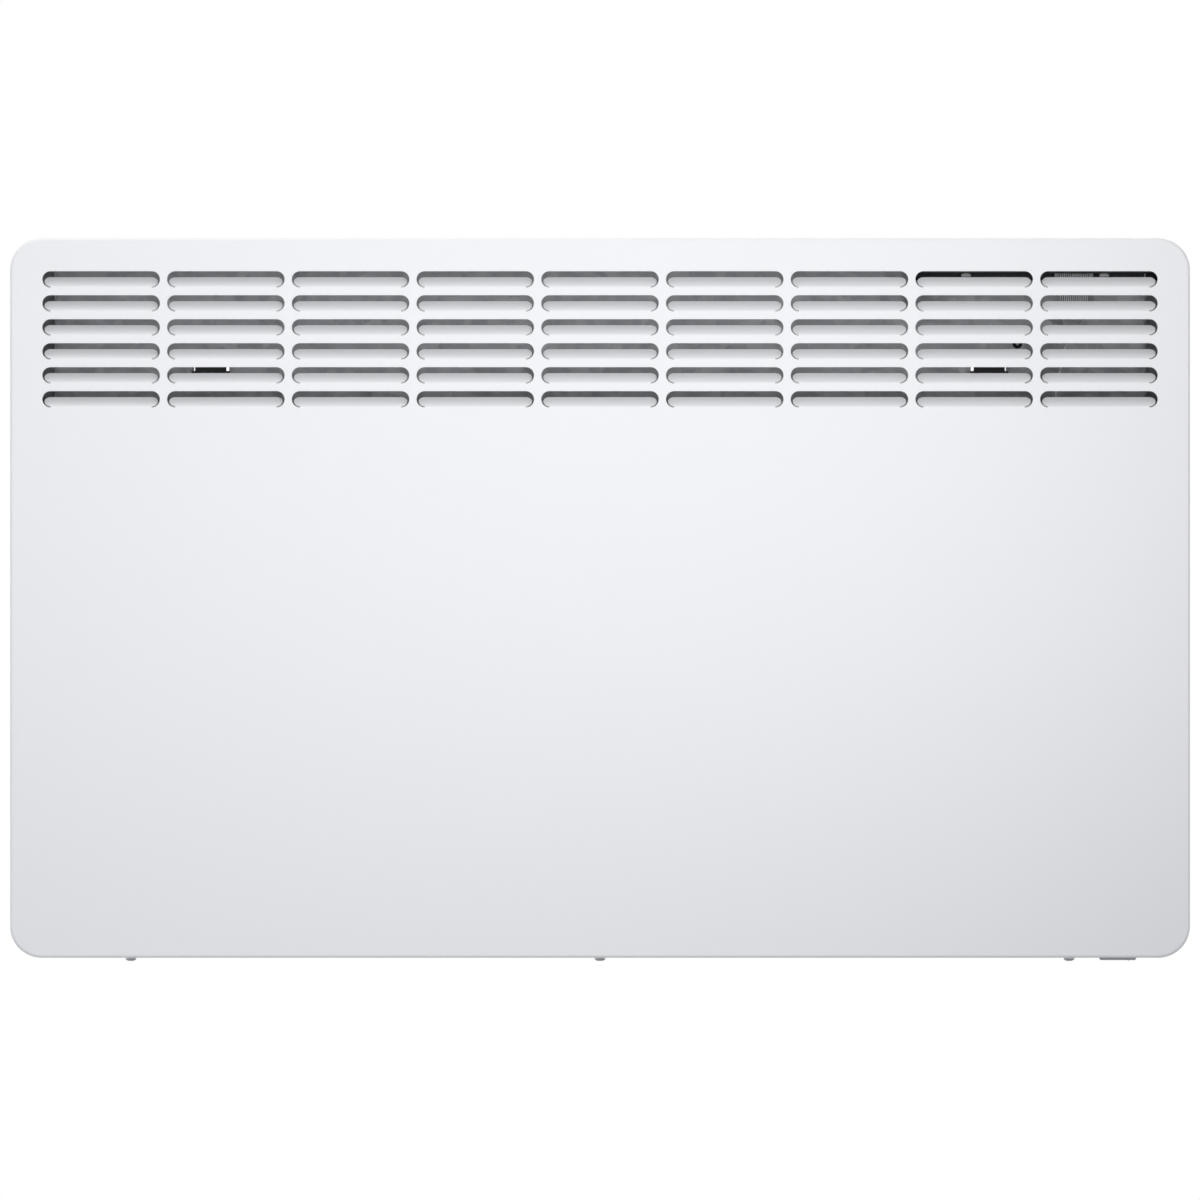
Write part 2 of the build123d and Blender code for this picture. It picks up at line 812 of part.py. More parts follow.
def heater_bracket(side):
    """Folded sheet support with a foot turned inwards and welded to the rear panel."""
    x0 = support_x(side) - support_sheet / 2
    x1 = x0 + support_sheet
    front = element_y - bush_side / 2 - support_rim
    low_z = element_z - support_half_height
    high_z = element_z + support_half_height
    support = block(x0, x1, front, panel_front_y, low_z, high_z)
    foot = (x0 - support_foot, x1) if side > 0 else (x0, x1 + support_foot)
    support += block(*foot, panel_front_y - support_sheet, panel_front_y, low_z, high_z)
    side = bush_side + 2 * rod_clearance
    hole = Pos(element_y, element_z) * Rectangle(side, side)
    return support - side_view(hole, x0, x1)


def heater_bush(side):
    """Square silicone bush that holds the rod in its support."""
    x = support_x(side)
    bush = Rectangle(bush_side, bush_side) - Circle(rod_radius + rod_clearance)
    return side_view(Pos(element_y, element_z) * bush, x - bush_length / 2, x + bush_length / 2)


def heat_shield():
    """Folded sheet between element and front cover, with a foot on the rear panel."""
    left = -right_x + shield_left_inset
    shield = block(left, partition_right_x, shield_front_y, shield_rear_y, duct_low_z, duct_top_z)
    shield += block(
        left, left + shield_sheet, shield_front_y, panel_front_y, duct_low_z, duct_top_z
    )
    shield += block(
        left - shield_foot,
        left + shield_sheet,
        panel_front_y - shield_sheet,
        panel_front_y,
        duct_low_z,
        duct_top_z,
    )
    shield += block(
        left,
        partition_x - partition_lip - shield_hem_gap,
        shield_rear_y,
        shield_rear_y + shield_hem,
        duct_top_z - shield_sheet,
        duct_top_z,
    )
    return shield


def partition():
    """Wall between the warm duct and the electronics, with a lip in front and a foot behind."""
    wall = block(
        partition_x, partition_right_x, partition_front_y, panel_front_y, duct_low_z, duct_top_z
    )
    wall += block(
        partition_x - partition_lip,
        partition_right_x,
        partition_front_y,
        partition_front_y + partition_sheet,
        duct_low_z,
        duct_top_z,
    )
    wall += block(
        partition_x - partition_lip,
        partition_right_x,
        panel_front_y - partition_sheet,
        panel_front_y,
        duct_low_z,
        duct_top_z,
    )
    return wall - side_view(
        Pos(element_y, element_z) * Rectangle(*lead_opening), partition_x, partition_right_x
    )


def thermal_cutout():
    """Disc thermostat above the element's right end, flat against the partition."""
    z = element_z + cutout_rise
    flange_x = partition_x - cutout_flange_sheet
    disc_x = flange_x - cutout_height
    cutout = side_view(Pos(element_y, z) * Rectangle(*cutout_flange), flange_x, partition_x)
    cutout += side_view(Pos(element_y, z) * Circle(cutout_radius), disc_x, flange_x)
    length, width, sheet = cutout_tab
    for side in (-1, 1):
        tab = Pos(element_y + side * cutout_tab_pitch / 2, z) * Rectangle(width, sheet)
        cutout += side_view(tab, disc_x - length, disc_x)
    return cutout


# ---------------------------------------------------------------- power electronics
def power_board():
    """Circuit board on edge, along the partition."""
    return block(
        board_left_x, board_right_x, board_front_y, board_rear_y, board_low_z, board_top_z
    )


def board_standoffs():
    """Four posts between the partition and the power board."""
    inset = standoff_side
    for y in (board_front_y + inset, board_rear_y - inset):
        for z in (board_low_z + inset, board_top_z - inset):
            half = standoff_side / 2
            yield block(partition_right_x, board_left_x, y - half, y + half, z - half, z + half)


def on_board(size, y, low_z):
    """Block of a size (out from the board, along Y, along Z) standing on the board at a height."""
    return block(
        board_right_x,
        board_right_x + size[0],
        y - size[1] / 2,
        y + size[1] / 2,
        low_z,
        low_z + size[2],
    )


def power_relay():
    """Relay that switches the element."""
    return on_board(relay_size, board_middle_y, relay_low_z)


def transformer():
    """Small encapsulated transformer."""
    return on_board(transformer_size, board_middle_y, transformer_low_z)


def triac_heatsink():
    """Finned aluminium sink."""
    sink = on_board(heatsink_size, board_middle_y, heatsink_low_z)
    pitch = (heatsink_size[2] - heatsink_fin) / heatsink_fins
    gap_size = (heatsink_size[0] - heatsink_base, heatsink_size[1], pitch - heatsink_fin)
    for i in range(heatsink_fins):
        z = heatsink_low_z + heatsink_fin + i * pitch
        sink -= Pos(X=heatsink_base) * on_board(gap_size, board_middle_y, z)
    return sink


def suppressor():
    """Film capacitor above the terminal block."""
    y = board_front_y + component_edge + capacitor_size[1] / 2
    return on_board(capacitor_size, y, suppressor_low_z)


def terminal_ys():
    """Middles of the terminal block's ways along Y, from the front."""
    pitch = terminal_block_size[1] / terminal_ways
    first = board_rear_y - terminal_block_size[1] + pitch / 2
    return [first + i * pitch for i in range(terminal_ways)]


def terminal_block():
    """Screw terminals at the board's lower end, open downwards."""
    middle = board_rear_y - terminal_block_size[1] / 2
    body = on_board(terminal_block_size, middle, terminal_low_z)
    half = terminal_pocket_width / 2
    for y in terminal_ys():
        body -= block(
            lead_x - half,
            lead_x + half,
            y - half,
            y + half,
            terminal_low_z,
            terminal_low_z + terminal_pocket_depth,
        )
    return body


# ---------------------------------------------------------------- control unit
def clip_places():
    """Places of the tub's rear clips, as (x, z) at the clip's lower face."""
    reach = control_width / 2 - clip_end
    return [(control_x + side * reach, tub_low_z + clip_rise) for side in (-1, 1)]


def control_housing():
    """Black moulded tub under the casing's top, clipped into the rear panel."""
    half = control_width / 2
    x0, x1 = control_x - half, control_x + half
    tub = block(x0, x1, tub_front_y, tub_rear_y, tub_low_z, lid_low_z)
    tub = fillet(tub.edges().filter_by(Axis.Z), tub_corner)
    tub -= block(
        x0 + tub_wall,
        x1 - tub_wall,
        tub_front_y + tub_wall,
        tub_rear_y - tub_wall,
        tub_floor_z,
        lid_low_z,
    )
    for x, z in clip_places():
        tub += block(
            x - clip_width / 2,
            x + clip_width / 2,
            tub_rear_y,
            panel_rear_y + clip_barb,
            z,
            z + clip_sheet,
        )
        tub += block(
            x - clip_width / 2,
            x + clip_width / 2,
            panel_rear_y + latch_clearance,
            panel_rear_y + clip_barb,
            z,
            z + 2 * clip_sheet,
        )
    tub -= block(
        ribbon_x - plug_width / 2,
        ribbon_x + plug_width / 2,
        socket_front_y,
        socket_front_y + plug_depth,
        tub_low_z,
        tub_floor_z,
    )
    hole = spacer_peg + 2 * spacer_hole_clearance
    for x in spacer_xs():
        tub -= top_view(Pos(x, control_y) * Rectangle(hole, hole), tub_low_z, tub_floor_z)
    return tub


def control_bezel():
    """Gloss lid of the tub, with a raised face that fills the opening in the casing's top."""
    half = control_width / 2
    lid = block(
        control_x - half, control_x + half, tub_front_y, tub_rear_y, lid_low_z, lid_top_z
    )
    lid = fillet(lid.edges().filter_by(Axis.Z), tub_corner)
    lid += top_view(control_face_outline(0), lid_top_z, control_face_z)
    lid -= lens_block(lens_clearance, control_face_z - lens_sheet, control_face_z)
    lid -= lens_block(-lens_seat, lid_low_z, control_face_z)
    for x in button_xs:
        lid -= button_block(x, button_clearance, lid_low_z, control_face_z)
    return lid


def lens_block(margin, z_low, z_high):
    """Block over the display window, larger on each side by a margin."""
    return block(
        lens_x - lens_width / 2 - margin,
        lens_x + lens_width / 2 + margin,
        control_y - lens_depth / 2 - margin,
        control_y + lens_depth / 2 + margin,
        z_low,
        z_high,
    )


def display_lens():
    """Clear window, flush in the control face."""
    return lens_block(0, control_face_z - lens_sheet, control_face_z)


def display_module():
    """Display on the control board, under the window."""
    return lens_block(-display_inset, control_board_z + board_sheet, lid_low_z - latch_clearance)


def control_board():
    """Circuit board in the tub."""
    inset = tub_wall + latch_clearance
    half = control_width / 2 - inset
    return block(
        control_x - half,
        control_x + half,
        tub_front_y + inset,
        tub_rear_y - inset,
        control_board_z,
        control_board_z + board_sheet,
    )


def spacer_xs():
    """Places of the two board spacers."""
    return [control_x + side * spacer_offset for side in (-1, 1)]


def board_spacers():
    """Nylon posts that carry the control board and snap through the tub's floor."""
    post = Rectangle(spacer_side, spacer_side)
    peg = Rectangle(spacer_peg, spacer_peg)
    snap = Rectangle(spacer_side, spacer_peg)
    low_z = tub_low_z - spacer_reach
    for x in spacer_xs():
        place = Pos(x, control_y)
        spacer = top_view(place * post, tub_floor_z, control_board_z)
        spacer += top_view(place * peg, low_z, tub_floor_z)
        yield spacer + top_view(place * snap, low_z, tub_low_z - spacer_snap_clearance)


def button_block(x, margin, z_low, z_high):
    """Button-shaped column at one key, larger on each side by a margin."""
    side = button_side + 2 * margin
    outline = chamfer(Rectangle(side, side).vertices(), button_corner)
    return top_view(Pos(x, control_y) * outline, z_low, z_high)


def control_button(x):
    """Push button: cap, retaining rim under the lid, and a stem over its key."""
    rim_top = lid_low_z - latch_clearance
    stem_low = key_top_z + plunger_height + button_travel + button_play
    cap = button_block(x, 0, rim_top, control_face_z)
    place = Pos(x, control_y)
    rim = button_side + 2 * button_rim
    cap += top_view(place * Rectangle(rim, rim), rim_top - button_rim_sheet, rim_top)
    return cap + top_view(place * Rectangle(plunger_side, plunger_side), stem_low, rim_top)


def tact_switches():
    """Keys on the control board, one under each button."""
    body = Rectangle(key_side, key_side)
    plunger = Rectangle(plunger_side, plunger_side)
    for x in button_xs:
        place = Pos(x, control_y)
        key = top_view(place * body, control_board_z + board_sheet, key_top_z)
        yield key + top_view(place * plunger, key_top_z, key_top_z + plunger_height)


# ---------------------------------------------------------------- ribbon cable
def ribbon_socket():
    """Upper connector behind the ribbon's end, with two ejector ears that flank the ribbon."""
    half = plug_width / 2
    body = block(
        ribbon_x - half,
        ribbon_x + half,
        socket_front_y,
        socket_front_y + plug_depth,
        tub_low_z - plug_height,
        tub_low_z,
    )
    inner = ribbon_width / 2 + latch_clearance
    for side in (-1, 1):
        ear = sorted((ribbon_x + side * inner, ribbon_x + side * half))
        body += block(
            *ear, ribbon_y - ear_reach, socket_front_y, tub_low_z - ear_height, tub_low_z
        )
    return body


def turned_corners(turn, x, z):
    """Corners of the ribbon's section at a height, turned about the vertical by an angle."""
    u, v = ribbon_width / 2, ribbon_sheet / 2
    along, across = cos(radians(turn)), sin(radians(turn))
    return [
        (x + a * along - b * across, ribbon_y + a * across + b * along, z)
        for a, b in ((-u, -v), (u, -v), (u, v), (-u, v))
    ]


def turned_stretch(lower, upper):
    """Solid with flat three-sided facets between two sections of four corners each.

    Its two broad sides are split along the same diagonal, so that it keeps its thickness.
    """
    outlines = [lower[::-1], upper]
    for i in range(4):
        following = (i + 1) % 4
        first, last = (i, following) if i < 2 else (following, i)
        outlines.append([lower[i], lower[following], upper[last]])
        outlines.append([lower[first], upper[following], upper[i]])
    return Solid(Shell([Face(Wire.make_polygon(outline)) for outline in outlines]))


def ribbon_cable():
    """Flat cable: face on under the tub, a quarter turn, a slanted run, then straight down."""
    cable = top_view(
        Pos(ribbon_x, ribbon_y) * Rectangle(ribbon_width, ribbon_sheet),
        ribbon_turn_top_z,
        tub_low_z - plug_clearance,
    )
    corners = []
    for i in range(ribbon_turn_steps + 1):
        share = i / ribbon_turn_steps
        x = ribbon_x + (ribbon_mid_x - ribbon_x) * share
        z = ribbon_turn_top_z - ribbon_turn_height * share
        corners.append(turned_corners(90 * share, x, z))
    for upper, lower in zip(corners, corners[1:]):
        cable += turned_stretch(lower, upper)
    edge_on = Rectangle(ribbon_sheet, ribbon_width)
    cable += loft(
        [
            Pos(ribbon_mid_x, ribbon_y, ribbon_turn_low_z) * edge_on,
            Pos(ribbon_low_x, ribbon_y, ribbon_fall_low_z) * edge_on,
        ],
        ruled=True,
    )
    return cable + top_view(
        Pos(ribbon_low_x, ribbon_y) * edge_on, ribbon_plug_z + plug_height, ribbon_fall_low_z
    )


def ribbon_plug():
    """Lower connector, on the power board's header."""
    half = plug_width / 2
    return block(
        board_right_x,
        ribbon_low_x + plug_depth / 2,
        ribbon_y - half,
        ribbon_y + half,
        ribbon_plug_z - plug_height,
        ribbon_plug_z + plug_height,
    )


# ---------------------------------------------------------------- mains switch
def rocker_pivot():
    """The rocker's axis, as (x, z)."""
    return switch_x, bottom_z + rocker_pivot_rise


def switch_housing():
    """Snap-in rocker switch body with its bezel on the rear panel's bottom flange."""
    low_z = switch_seat_z - switch_bezel_height
    x, pivot_z = rocker_pivot()
    bezel = top_view(Pos(x, switch_y) * Rectangle(*switch_bezel), low_z, switch_seat_z)
    bezel = chamfer(bezel.edges().group_by(Axis.Z)[0], switch_bezel_chamfer)
    body = top_view(
        Pos(x, switch_y) * Rectangle(*switch_body), switch_seat_z, switch_seat_z + switch_body_height
    )
    cavity = Rectangle(2 * (rocker_radius + rocker_clearance), rocker_depth + 2 * rocker_clearance)
    housing = bezel + body
    housing -= top_view(Pos(x, switch_y) * cavity, low_z, pivot_z + rocker_radius)
    pin_hole = Pos(x, pivot_z) * Circle(rocker_pin_radius + rocker_pin_clearance)
    return housing - front_view(pin_hole, switch_y + switch_body[1] / 2, switch_y - switch_body[1] / 2)


def switch_rocker():
    """Rocker with a shallow valley, ends round about its axis, and two pivot pins."""
    x, pivot_z = rocker_pivot()

    def at(radius, angle):
        return radius * cos(radians(angle)), radius * sin(radians(angle))

    corner = rocker_corner_angle
    heel = rocker_heel_angle
    back_x, back_z = rocker_back
    outline = make_face(
        [
            Line((0, -rocker_valley), at(rocker_radius, -corner)),
            ThreePointArc(
                at(rocker_radius, -corner),
                at(rocker_radius, (heel - corner) / 2),
                at(rocker_radius, heel),
            ),
            Line(at(rocker_radius, heel), (back_x, back_z)),
            Line((back_x, back_z), (-back_x, back_z)),
            Line((-back_x, back_z), at(rocker_radius, 180 - heel)),
            ThreePointArc(
                at(rocker_radius, 180 - heel),
                at(rocker_radius, 180 + (corner - heel) / 2),
                at(rocker_radius, 180 + corner),
            ),
            Line(at(rocker_radius, 180 + corner), (0, -rocker_valley)),
        ]
    )
    placed = Pos(x, pivot_z) * Rot(Z=-rocker_swing / 2) * outline
    half = rocker_depth / 2
    rocker = front_view(placed, switch_y + half, switch_y - half)
    reach = (rocker_depth + switch_body[1]) / 4 + rocker_clearance
    pins = front_view(
        Pos(x, pivot_z) * Circle(rocker_pin_radius), switch_y + reach, switch_y - reach
    )
    return rocker + pins


def switch_terminals():
    """Push-on tabs on the switch body."""
    low_z = switch_seat_z + switch_body_height
    for side in (-1, 0, 1):
        x = switch_x + side * switch_tab_pitch
        yield block(
            x - switch_tab[1] / 2,
            x + switch_tab[1] / 2,
            switch_y - switch_tab[0] / 2,
            switch_y + switch_tab[0] / 2,
            low_z,
            low_z + switch_tab[2],
        )


# ---------------------------------------------------------------- small parts
def cable_gland():
    """Cable bush snapped into the rear panel, with its grip behind the panel."""
    place = Pos(gland_x, gland_z)
    grip_rear_y = panel_rear_y + gland_boss_length
    bore_front_y = panel_rear_y + gland_step
    bush = front_view(place * Circle(gland_flange_radius), grip_rear_y, panel_rear_y)
    bush += front_view(place * Circle(gland_neck_radius), panel_rear_y, panel_front_y)
    bush += front_view(
        place * RegularPolygon(gland_neck_radius + gland_collar_rim, 6),
        panel_front_y,
        panel_front_y - gland_collar,
    )
    bush -= front_view(place * Circle(gland_bore_radius), grip_rear_y, bore_front_y)
    return bush - front_view(
        place * Circle(gland_inlet_radius), bore_front_y, panel_front_y - gland_collar
    )


def blank_place():
    """Place of the blanking plug, seen from the front."""
    return Pos(right_x - blank_inset, top_z - blank_drop)


def blanking_plug():
    """Round dished plug in a spare hole of the rear panel."""
    front = panel_front_y - blank_head
    head = front_view(blank_place() * Circle(blank_radius), panel_front_y, front)
    head -= front_view(blank_place() * Circle(blank_dish_radius), front + blank_dish, front)
    stem = RegularPolygon(blank_stem_radius, 6)
    return head + front_view(blank_place() * stem, panel_rear_y, panel_front_y)


def sensor_place():
    """The room sensor's axis, as (x, z)."""
    return right_x - sensor_inset, -flange_in_z + sensor_rise


def sensor_clip():
    """Moulded clip that stands on the bottom flange and holds the room sensor."""
    x, z = sensor_place()
    outer = sensor_radius + sensor_clip_wall
    y0 = switch_y - sensor_length / 2 + sensor_clip_inset
    y1 = switch_y + sensor_length / 2 - sensor_clip_inset
    clip = block(x - outer, x + outer, y0, y1, -flange_in_z, z + sensor_radius)
    clip -= block(x - sensor_radius, x + sensor_radius, y0, y1, z - sensor_radius, z + sensor_radius)
    return clip


def room_sensor():
    """Temperature sensor lying in its clip."""
    x, z = sensor_place()
    bead = RegularPolygon(sensor_radius - sensor_play, 8, major_radius=False, rotation=22.5)
    return front_view(
        Pos(x, z) * bead, switch_y + sensor_length / 2, switch_y - sensor_length / 2
    )


def stud_place():
    """The earth stud's axis, as (x, z)."""
    return right_x - stud_inset, bottom_z + stud_rise


def earth_stud():
    """Threaded stud welded to the rear panel."""
    x, z = stud_place()
    return front_view(Pos(x, z) * Circle(stud_radius), panel_front_y, panel_front_y - stud_length)


def earth_nut():
    """Hexagon nut on the earth stud."""
    x, z = stud_place()
    ring = RegularPolygon(nut_across_flats / 2, 6, major_radius=False)
    ring -= Circle(stud_radius + nut_clearance)
    return front_view(Pos(x, z) * ring, panel_front_y, panel_front_y - nut_height)


def lead(points):
    """Insulated lead along straight runs with round bends, drawn six-sided."""
    path = FilletPolyline(*points, radius=lead_bend)
    start = Plane(origin=path @ 0, z_dir=path % 0)
    return sweep(start * RegularPolygon(lead_radius, lead_sides), path=path)


def heater_leads():
    """Two leads from the rod's tabs, through the partition, up into the terminal block."""
    start_x = element_right_x + rod_stub + terminal_length
    end_z = terminal_low_z + terminal_pocket_depth - lead_clearance
    for side, y in zip((-1, 1), terminal_ys()[:2]):
        start_y = element_y + side * terminal_pitch / 2
        yield lead(
            [
                (start_x, start_y, element_z),
                (partition_x - lead_bend, start_y, element_z),
                (lead_x, y, element_z),
                (lead_x, y, end_z),
            ]
        )


# ---------------------------------------------------------------- write each piece
def group(solids):
    """Separate solids kept in one node."""
    return Compound(children=list(solids))


nodes = {
    "front_cover": front_cover(),
    "rear_panel": rear_panel(),
    "bracket_leg_left": bracket_leg(-1),
    "bracket_leg_right": bracket_leg(1),
    "bracket_crossbar_upper": crossbar(hole_z - crossbar_inset),
    "bracket_crossbar_lower": crossbar(-hole_z + crossbar_inset),
    "latch_left": latch(-1),
    "latch_right": latch(1),
    "latch_spring_left": latch_spring(-1),
    "latch_spring_right": latch_spring(1),
    "heating_element": heating_element(),
    "heater_rod": heater_rod(),
    "heater_terminals": group(heater_terminals()),
    "heater_bracket_left": heater_bracket(-1),
    "heater_bracket_right": heater_bracket(1),
    "heater_bush_left": heater_bush(-1),
    "heater_bush_right": heater_bush(1),
    "heat_shield": heat_shield(),
    "partition": partition(),
    "thermal_cutout": thermal_cutout(),
    "power_board": power_board(),
    "board_standoffs": group(board_standoffs()),
    "power_relay": power_relay(),
    "transformer": transformer(),
    "triac_heatsink": triac_heatsink(),
    "suppressor": suppressor(),
    "terminal_block": terminal_block(),
    "control_housing": control_housing(),
    "control_bezel": control_bezel(),
    "display_lens": display_lens(),
    "display_module": display_module(),
    "control_board": control_board(),
    "board_spacers": group(board_spacers()),
    "button_minus": control_button(button_xs[0]),
    "button_plus": control_button(button_xs[1]),
    "button_mode": control_button(button_xs[2]),
    "button_standby": control_button(button_xs[3]),
    "tact_switches": group(tact_switches()),
    "ribbon_socket": ribbon_socket(),
    "ribbon_cable": ribbon_cable(),
    "ribbon_plug": ribbon_plug(),
    "switch_housing": switch_housing(),
    "switch_rocker": switch_rocker(),
    "switch_terminals": group(switch_terminals()),
    "cover_screws": group(cover_screws()),
    "cable_gland": cable_gland(),
    "blanking_plug": blanking_plug(),
    "sensor_clip": sensor_clip(),
    "room_sensor": room_sensor(),
    "earth_stud": earth_stud(),
    "earth_nut": earth_nut(),
    "heater_leads": group(heater_leads()),
}

os.makedirs("parts", exist_ok=True)
for name, shape in nodes.items():
    export_step(shape, f"parts/{name}.step")
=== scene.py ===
import json
from math import cos, pi, radians, sin, sqrt

import bmesh
import bpy
from bpy.props import FloatProperty, FloatVectorProperty, IntProperty, PointerProperty
from mathutils import Matrix, Vector

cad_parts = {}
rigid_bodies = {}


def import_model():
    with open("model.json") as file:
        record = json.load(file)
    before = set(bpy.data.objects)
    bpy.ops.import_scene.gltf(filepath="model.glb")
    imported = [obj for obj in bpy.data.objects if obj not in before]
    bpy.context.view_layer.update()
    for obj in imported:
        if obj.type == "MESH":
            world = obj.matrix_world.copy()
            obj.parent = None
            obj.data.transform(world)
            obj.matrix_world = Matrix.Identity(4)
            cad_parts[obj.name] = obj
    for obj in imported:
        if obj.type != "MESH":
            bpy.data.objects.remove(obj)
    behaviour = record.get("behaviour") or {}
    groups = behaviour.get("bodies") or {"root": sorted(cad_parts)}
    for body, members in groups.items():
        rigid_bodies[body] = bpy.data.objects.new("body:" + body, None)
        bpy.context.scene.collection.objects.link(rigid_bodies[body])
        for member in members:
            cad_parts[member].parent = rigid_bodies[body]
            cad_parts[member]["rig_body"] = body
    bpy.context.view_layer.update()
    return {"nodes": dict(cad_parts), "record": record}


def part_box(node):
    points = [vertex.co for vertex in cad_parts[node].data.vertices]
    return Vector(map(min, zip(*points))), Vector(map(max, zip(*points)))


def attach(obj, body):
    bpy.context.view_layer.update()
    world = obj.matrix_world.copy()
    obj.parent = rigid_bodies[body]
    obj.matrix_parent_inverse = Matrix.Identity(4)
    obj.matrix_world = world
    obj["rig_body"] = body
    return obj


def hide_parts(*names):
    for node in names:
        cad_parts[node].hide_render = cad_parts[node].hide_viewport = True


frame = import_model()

bl_info = {
    "name": "Wall Panel Convector Heater",
    "version": (1, 0, 0),
    "blender": (4, 5, 0),
    "location": "View3D > Sidebar > Heater",
    "description": "Pressed cover, fittings, finishes and studio of a wall panel convector heater",
    "category": "Object",
}

MM = 0.001
SLOT_OF_NODE = {part["node"]: part["material_slot"] for part in frame["record"]["subparts"]}


def linear(hex_colour):
    """Linear red, green and blue of an sRGB hex colour."""
    channels = [int(hex_colour[i : i + 2], 16) / 255 for i in (1, 3, 5)]
    return tuple(c / 12.92 if c <= 0.04045 else ((c + 0.055) / 1.055) ** 2.4 for c in channels)


# ---------------------------------------------------------------- settings
def length(name, description, default):
    """A length that a user can set, in metres."""
    return FloatProperty(
        name=name, description=description, default=default, min=0.0, unit="LENGTH", precision=5
    )


def power(name, description, default):
    """The power of a lamp, in watts."""
    return FloatProperty(
        name=name, description=description, default=default, min=0.0, unit="POWER"
    )


def colour(name, description, hex_colour):
    """A colour that a user can set, given as sRGB hex."""
    return FloatVectorProperty(
        name=name,
        description=description,
        default=linear(hex_colour),
        subtype="COLOR",
        size=3,
        min=0.0,
        max=1.0,
    )


class HeaterCoverSettings(bpy.types.PropertyGroup):
    """Sizes of the pressed front cover."""

    sheet: length("Sheet", "Thickness of the steel", 1.0 * MM)
    corner_radius: length("Corner radius", "Radius of the casing's corners", 20 * MM)
    edge_radius: length("Edge radius", "Radius of the pressed edge round the front", 1.8 * MM)
    columns: IntProperty(name="Columns", description="Louvres across", default=9, min=1)
    rows: IntProperty(name="Rows", description="Louvres down", default=6, min=1)
    pitch_x: length("Pitch across", "From louvre to louvre, across", 78 * MM)
    pitch_z: length("Pitch down", "From louvre to louvre, down", 15 * MM)
    slot_length: length("Slot length", "Length of a louvre's slot", 73.5 * MM)
    slot_height: length("Slot height", "Height of a louvre's slot", 10.2 * MM)
    top_margin: length("Top margin", "Casing's top to the first slot", 20.6 * MM)
    kerf: length("Kerf", "Cut between a tongue and its slot", 1.3 * MM)
    bend_radius: length("Bend radius", "Front radius of a tongue's bend", 1.2 * MM)
    bend_angle: FloatProperty(
        name="Bend angle",
        description="How far a tongue is bent in",
        default=radians(45),
        subtype="ANGLE",
    )
    inlet_length: length("Inlet length", "Length of an air inlet in the bottom", 66 * MM)
    inlet_width: length("Inlet width", "Width of an air inlet in the bottom", 9 * MM)
    inlet_pitch: length("Inlet pitch", "From row to row of the inlets", 16 * MM)
    inlet_offset: length("Inlet offset", "Front face to the first row of inlets", 13 * MM)
    inlet_corner: length("Inlet corner", "Corner radius of an inlet", 0.8 * MM)


class HeaterFittingSettings(bpy.types.PropertyGroup):
    """Sizes of the small fittings."""

    moulded_edge: length("Moulded edge", "Edge radius of moulded pieces", 0.35 * MM)
    folded_edge: length("Folded edge", "Edge radius of folded sheet", 0.30 * MM)
    conductors: IntProperty(name="Conductors", description="Wires in the ribbon", default=14, min=2)
    conductor_pitch: length("Conductor pitch", "From wire to wire in the ribbon", 1.3 * MM)
    ribbon_web: length("Ribbon web", "Thickness between two wires", 0.35 * MM)
    ribbon_wire: length("Ribbon wire", "Thickness over a wire", 1.0 * MM)
    guard_sheet: length("Guard sheet", "Thickness of the guards behind the louvres", 0.8 * MM)
    guard_flange: length("Guard flange", "Width of a guard's flange", 12 * MM)
    guard_gap: length("Guard gap", "Clearance round a guard", 0.3 * MM)
    guard_side: length("Guard inset", "Casing's side to a duct side", 28 * MM)
    guard_front: length("Guard front", "Front face to the guards, behind the tongues", 42 * MM)
    partition_rise: length("Partition rise", "Height of the partition's top piece", 72 * MM)
    # the tub's skirt and lip are black sheets that paint shade under the tub
    skirt_wall: length("Skirt wall", "Thickness of the tub's skirt", 1.5 * MM)
    skirt_drop: length("Skirt drop", "Tub's floor down to its skirt's lower edge", 23 * MM)
    lip_drop: length("Lip drop", "Tub's floor down to its lip's lower edge", 4.3 * MM)
    contact_width: length("Contact width", "Width of a rib on the ribbon's socket", 0.6 * MM)
    contact_rise: length("Contact rise", "Height of a rib on the ribbon's socket", 0.5 * MM)
    plug_bore: length("Plug bore", "Radius of the rear plug's open middle", 1.1 * MM)
    spacer_edge: length("Spacer edge", "Edge radius of the board spacers' ends", 0.9 * MM)
    recess_width: length("Recess width", "Width of a screw's cross recess", 0.9 * MM)
    recess_span: length("Recess span", "Span of a screw's cross recess", 4.0 * MM)
    recess_depth: length("Recess depth", "Depth of a screw's cross recess", 1.3 * MM)
    print_height: length("Print height", "Height of a printed symbol's lines", 0.02 * MM)
    print_line: length("Print line", "Width of a printed symbol's lines", 0.6 * MM)


